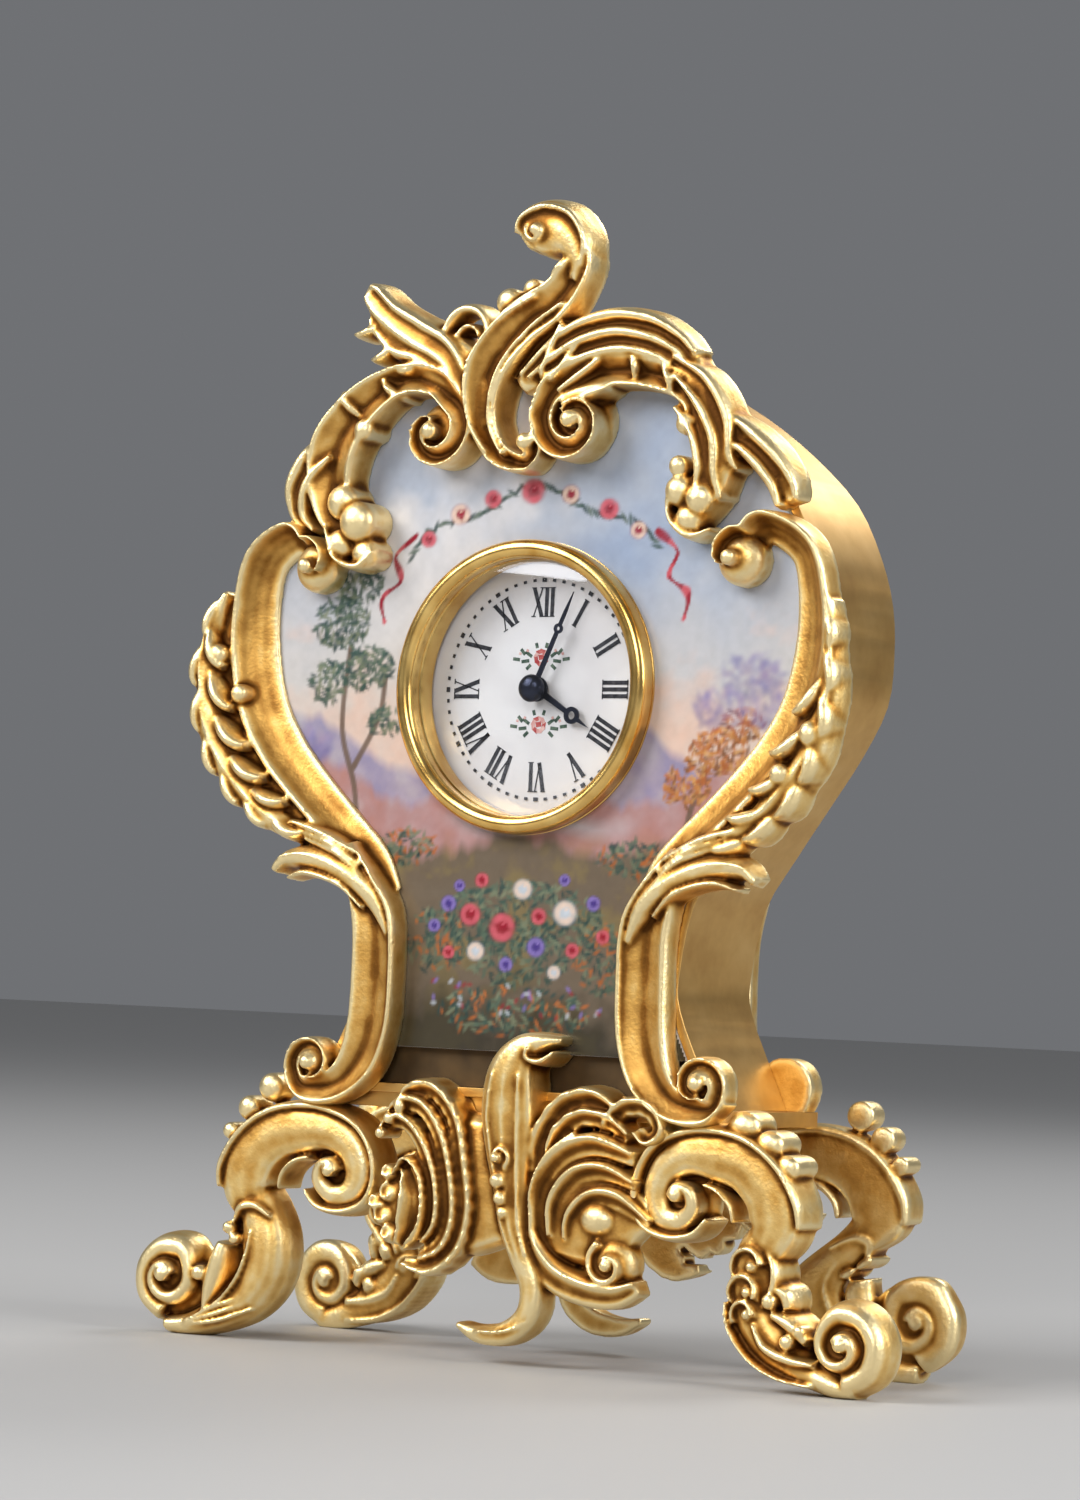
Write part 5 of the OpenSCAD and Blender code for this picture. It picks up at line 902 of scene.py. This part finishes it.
for k in range(34):
    x = touch.uniform(-10, 10)
    dab(x, touch.uniform(33.5, 37), 0.5, 0.3, touch.random() * 180, (CRIMSON, LILAC, SILVER)[k % 3], 0.6, 0.7)
canvas *= (0.93 + 0.14 * mottle(1.3, 91, 3))[:, :, None]

PAINT_LIFT, PROBE, SLACK = 0.00003, 0.002, 0.0001
sheet = bmesh.new()
bmesh.ops.create_grid(sheet, x_segments=len(across) - 1, y_segments=len(upward) - 1, size=1)
shade = sheet.verts.layers.float_color.new("painting")
ground = frame["nodes"]["enamel_panel"].data
ground = BVHTree.FromPolygons([v.co for v in ground.vertices], [p.vertices for p in ground.polygons])
bare = []
for v in sheet.verts:
    k, i = round((v.co.x + 1) / 2 * (len(across) - 1)), round((v.co.y + 1) / 2 * (len(upward) - 1))
    v.co = (across[k] * MM, low.y - PAINT_LIFT, upward[i] * MM)
    v[shade] = (*canvas[i, k], 1)
    hit = ground.ray_cast(Vector((v.co.x, low.y - PROBE, v.co.z)), Vector((0, 1, 0)))[0]
    if hit is None or hit.y > low.y + SLACK:
        bare.append(v)
bmesh.ops.delete(sheet, geom=bare, context="VERTS")
for f in sheet.faces:
    if f.normal.y > 0:
        f.normal_flip()
glaze, tree = new_material("painted_enamel", {
    "Roughness": 0.26, "Coat Weight": 0.12, "Specular IOR Level": 0.3, "Coat Roughness": 0.06})
painting = put(tree, "Attribute")
painting.attribute_name = "painting"
lead(tree, painting.outputs["Color"], "Base Color")
place = put(tree, "TexCoord").outputs["Object"]
ripple = put(tree, "TexNoise", {"Scale": 260, "Detail": 2}, {"Vector": place}).outputs["Fac"]
bump_by(tree, ripple, 0.12, 0.0002)


def add_piece(name, work, materials):
    """Stand a worked bmesh in the scene beside a CAD node."""
    mesh = bpy.data.meshes.new(name)
    work.to_mesh(mesh)
    work.free()
    for material in materials:
        mesh.materials.append(material)
    piece = bpy.data.objects.new(name, mesh)
    scene.collection.objects.link(piece)
    return piece


painted_face = add_piece("painted_face", sheet, [glaze])
painted_face.data.shade_smooth()
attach(painted_face, body_with("enamel_panel"))

# Bezel. A turned and burnished brass ring with a round crown and a plain tube that passes through
# the panel, gilt. It holds the glass.
polished_gilt = clouded("burnished_gilt", {"Metallic": 1.0}, 240, 5,
                        ((0.34, (0.62, 0.34, 0.075)), (0.66, (0.93, 0.64, 0.22))), (0.13, 0.3))
TURNED_CREASE = math.radians(35)


def turned(name, profile, node, material, steps=160, closed=True):
    """Spin a profile about the dial's middle: (radius, distance before the panel's face), in millimetres."""
    work = bmesh.new()
    verts = [work.verts.new((r * MM, (FRONT - ahead) * MM, DIAL_Z * MM)) for r, ahead in profile]
    edges = [work.edges.new(pair) for pair in zip(verts, verts[1:])]
    if closed:
        edges.append(work.edges.new((verts[-1], verts[0])))
    bmesh.ops.spin(work, geom=verts + edges, cent=(0, 0, DIAL_Z * MM), axis=(0, 1, 0), angle=2 * math.pi,
                   steps=steps, use_merge=True)
    bmesh.ops.remove_doubles(work, verts=work.verts, dist=WELD)
    finish_piece(name, work, node, material, TURNED_CREASE)


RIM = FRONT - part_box("bezel")[0].y / MM
RIM_R = (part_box("bezel")[1].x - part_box("bezel")[0].x) / 2 / MM
SIGHT_R = 12.65
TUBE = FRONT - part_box("bezel")[1].y / MM
crown = (RIM_R - SIGHT_R) / 2
profile = [(SIGHT_R + 0.7, TUBE), (SIGHT_R, TUBE), (SIGHT_R, 0.1), (SIGHT_R + 0.12, 0.22)]
profile += [(SIGHT_R + crown - crown * math.cos(math.radians(a)),
             RIM - crown + crown * math.sin(math.radians(a))) for a in range(0, 181, 12)]
profile += [(RIM_R, 0.5), (RIM_R - 0.22, 0.42), (RIM_R - 0.22, 0.3), (RIM_R, 0.22), (RIM_R, 0.02),
            (SIGHT_R + 0.7, 0.02)]
turned("bezel_ring", profile, "bezel", polished_gilt)

# Watch glass. A thin domed glass, blown and ground, is sprung into the bezel.
glass = bpy.data.materials.new("watch_glass")
glass.use_nodes = True
tree = glass.node_tree
tree.nodes.remove(tree.nodes["Principled BSDF"])
clear = put(tree, "BsdfTransparent", {"Color": (0.985, 0.99, 0.99, 1)}).outputs["BSDF"]
gloss = put(tree, "BsdfGlossy", {"Roughness": 0.03, "Color": (0.9, 0.93, 1.0, 1)}).outputs["BSDF"]
slant = put(tree, "LayerWeight").outputs["Facing"]
steep = put(tree, "Math", {1: 4.5}, {0: slant}, "POWER").outputs["Value"]
sheen = put(tree, "MapRange", {"To Min": 0.035, "To Max": 0.75}, {"Value": steep}).outputs["Result"]
blend = put(tree, "MixShader", feeds={"Fac": sheen, 1: clear, 2: gloss})
tree.links.new(blend.outputs["Shader"], tree.nodes["Material Output"].inputs["Surface"])
GLASS_R, GLASS_SEAT, GLASS_T = 12.92, 0.2, 0.5
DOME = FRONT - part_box("crystal")[0].y / MM - GLASS_SEAT - GLASS_T
outer = [(GLASS_R * k / 14, GLASS_SEAT + GLASS_T + DOME * (1 - (k / 14) ** 2)) for k in range(15)]
inner = [(GLASS_R * k / 14, GLASS_SEAT + DOME * (1 - (k / 14) ** 2)) for k in range(14, -1, -1)]
turned("domed_glass", outer + inner, "crystal", glass, closed=False)

# Dial. A copper disc with white enamel, fired three times. Its numerals, minute dots and two small
# sprays of roses are painted and fired on top.
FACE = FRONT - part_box("dial")[0].y / MM
white = clouded("dial_enamel", {"Roughness": 0.14, "Coat Weight": 0.3}, 150, 5,
                ((0.36, (0.66, 0.64, 0.66)), (0.66, (0.77, 0.76, 0.78))))
DIAL_R, HOLE_R = 13.0, 0.9
plate = [(HOLE_R, FACE - 0.02)] + [(DIAL_R * k / 12, FACE - 0.16 * (k / 12) ** 3) for k in range(2, 12)]
plate += [(DIAL_R, FACE - 0.26), (DIAL_R, FACE - 0.4), (HOLE_R, FACE - 0.4)]
turned("enamel_dial", plate, "dial", white)
inks = []
for name, dark, light in (("black_ink", (0.012, 0.012, 0.016), (0.05, 0.05, 0.06)),
                          ("rose_paint", (0.36, 0.03, 0.035), (0.58, 0.17, 0.15)),
                          ("leaf_paint", (0.035, 0.07, 0.05), (0.13, 0.18, 0.13)),
                          ("pink_paint", (0.60, 0.30, 0.28), (0.72, 0.5, 0.46))):
    inks.append(clouded(name, {"Roughness": 0.25}, 1800, 2, ((0.4, dark), (0.7, light))))
BLACK, ROSE, GREEN, BLUSH = range(4)
print_work = bmesh.new()


def stroke(x0, z0, x1, z1, wide, turn=0.0, ink=BLACK, thick=0.05):
    """A painted bar between two points of the dial, turned clockwise about its middle."""
    long = math.hypot(x1 - x0, z1 - z0)
    seat = (Matrix.Translation((0, (FRONT - FACE + 0.01) * MM, DIAL_Z * MM))
            @ Matrix.Rotation(math.radians(turn), 4, "Y")
            @ Matrix.Translation(((x0 + x1) / 2 * MM, 0, (z0 + z1) / 2 * MM))
            @ Matrix.Rotation(-math.atan2(z1 - z0, x1 - x0), 4, "Y")
            @ Matrix.Diagonal((long * MM, thick * MM, wide * MM, 1)))
    made = bmesh.ops.create_cube(print_work, size=1, matrix=seat)["verts"]
    for f in {f for v in made for f in v.link_faces}:
        f.material_index = ink


NUMERAL_R, NUMERAL_H = 8.65, 2.85
ADVANCE = {"I": 0.66, "V": 1.34, "X": 1.36}
for hour, word in enumerate(("XII", "I", "II", "III", "IIII", "V", "VI", "VII", "VIII", "IX", "X", "XI")):
    turn, left = hour * 30, -sum(ADVANCE[c] for c in word) / 2
    low_z, top_z = NUMERAL_R - NUMERAL_H / 2, NUMERAL_R + NUMERAL_H / 2
    for c in word:
        mid, wide = left + ADVANCE[c] / 2, ADVANCE[c] / 2 - 0.2
        left += ADVANCE[c]
        if c == "I":
            stroke(mid, low_z, mid, top_z, 0.4, turn)
            for z in (low_z, top_z):
                stroke(mid - 0.3, z, mid + 0.3, z, 0.1, turn)
        elif c == "V":
            stroke(mid - wide, top_z, mid + 0.06, low_z, 0.42, turn)
            stroke(mid + wide, top_z, mid, low_z, 0.12, turn)
            for x in (mid - wide, mid + wide):
                stroke(x - 0.26, top_z, x + 0.26, top_z, 0.1, turn)
        else:
            stroke(mid - wide, top_z, mid + wide, low_z, 0.42, turn)
            stroke(mid + wide, top_z, mid - wide, low_z, 0.12, turn)
            for x in (mid - wide, mid + wide):
                for z in (low_z, top_z):
                    stroke(x - 0.26, z, x + 0.26, z, 0.1, turn)
for minute in range(60):
    wide = 0.5 if minute % 5 == 0 else 0.36
    stroke(-wide / 2, 10.85, wide / 2, 10.85, wide * 0.8, minute * 6)
for base_z, paint in ((3.15, ROSE), (-3.5, BLUSH)):
    for k in range(9):
        a, b = math.radians(k * 40), math.radians(k * 40 + 80)
        x, z = 0.62 * math.cos(a), base_z + 0.62 * math.sin(a)
        dx, dz = 0.3 * math.cos(b), 0.3 * math.sin(b)
        stroke(x - dx, z - dz, x + dx, z + dz, 0.42, 0, (ROSE, BLUSH, paint)[k % 3], 0.05 + 0.004 * k)
    stroke(-0.3, base_z, 0.3, base_z + 0.1, 0.5, 0, ROSE, 0.1)
    for side in (-1, 1):
        for x, z, dx, dz in ((1.1, 0.1, 0.75, 0.5), (1.4, -0.3, 0.9, -0.1), (1.9, 0.3, 0.5, 0.55),
                             (2.5, -0.2, 0.8, 0.1), (1.2, -0.7, 0.5, -0.45), (0.5, 0.95, 0.15, 0.5)):
            stroke(side * x, base_z + z, side * (x + dx), base_z + z + dz, 0.34, 0, GREEN, 0.06)
        for x, z in ((1.5, 0.65), (2.35, 0.35)):
            stroke(side * x, base_z + z, side * (x + 0.25), base_z + z + 0.1, 0.26, 0, BLUSH, 0.08)
bmesh.ops.recalc_face_normals(print_work, faces=print_work.faces)
dial_painting = add_piece("dial_painting", print_work, inks)
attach(dial_painting, body_with("dial"))

# Hands. Filed from thin steel and blued, with a domed steel nut that holds them on the arbor.
blued = clouded("blued_steel", {"Metallic": 0.85, "Roughness": 0.28}, 600, 2,
                ((0, (0.008, 0.009, 0.014)), (1, (0.035, 0.04, 0.07))))
NUT_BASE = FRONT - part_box("hand_nut")[1].y / MM
nut = [(0, NUT_BASE), (0.7, NUT_BASE), (0.95, NUT_BASE + 0.16)]
nut += [(1.38 * math.cos(math.radians(a)), NUT_BASE + 0.3 + 0.86 * math.sin(math.radians(a)))
        for a in range(0, 90, 9)]
nut += [(0, NUT_BASE + 1.16)]
turned("domed_nut", nut, "hand_nut", blued, steps=64, closed=False)

# Movement and small fixings. Brass plates and wheels are stoned, grained and gilt; arbors, screws,
# springs and pinions are hardened and polished steel.
works_brass = clouded("grained_brass", {"Metallic": 1.0}, 3200, 2,
                      ((0.3, (0.58, 0.39, 0.14)), (0.7, (0.83, 0.62, 0.29))), (0.24, 0.42))
works_steel = clouded("polished_steel", {"Metallic": 1.0}, 1500, 3,
                      ((0, (0.42, 0.43, 0.45)), (1, (0.62, 0.63, 0.66))), (0.14, 0.3))
dressed = {"movement_brass": works_brass, "polished_steel": works_steel, "blued_steel": blued,
           "gilt_case": satin_gilt, "gilt_casting": gilt, "painted_enamel": backing, "dial_enamel": white,
           "watch_glass": glass}
for part in frame["record"]["subparts"]:
    for seat in frame["nodes"][part["node"]].material_slots:
        # The front plate takes the near-black painted shade; every other part takes its own finish.
        seat.material = painted_shade_sheet if part["node"] == "front_plate" else dressed[part["material_slot"]]
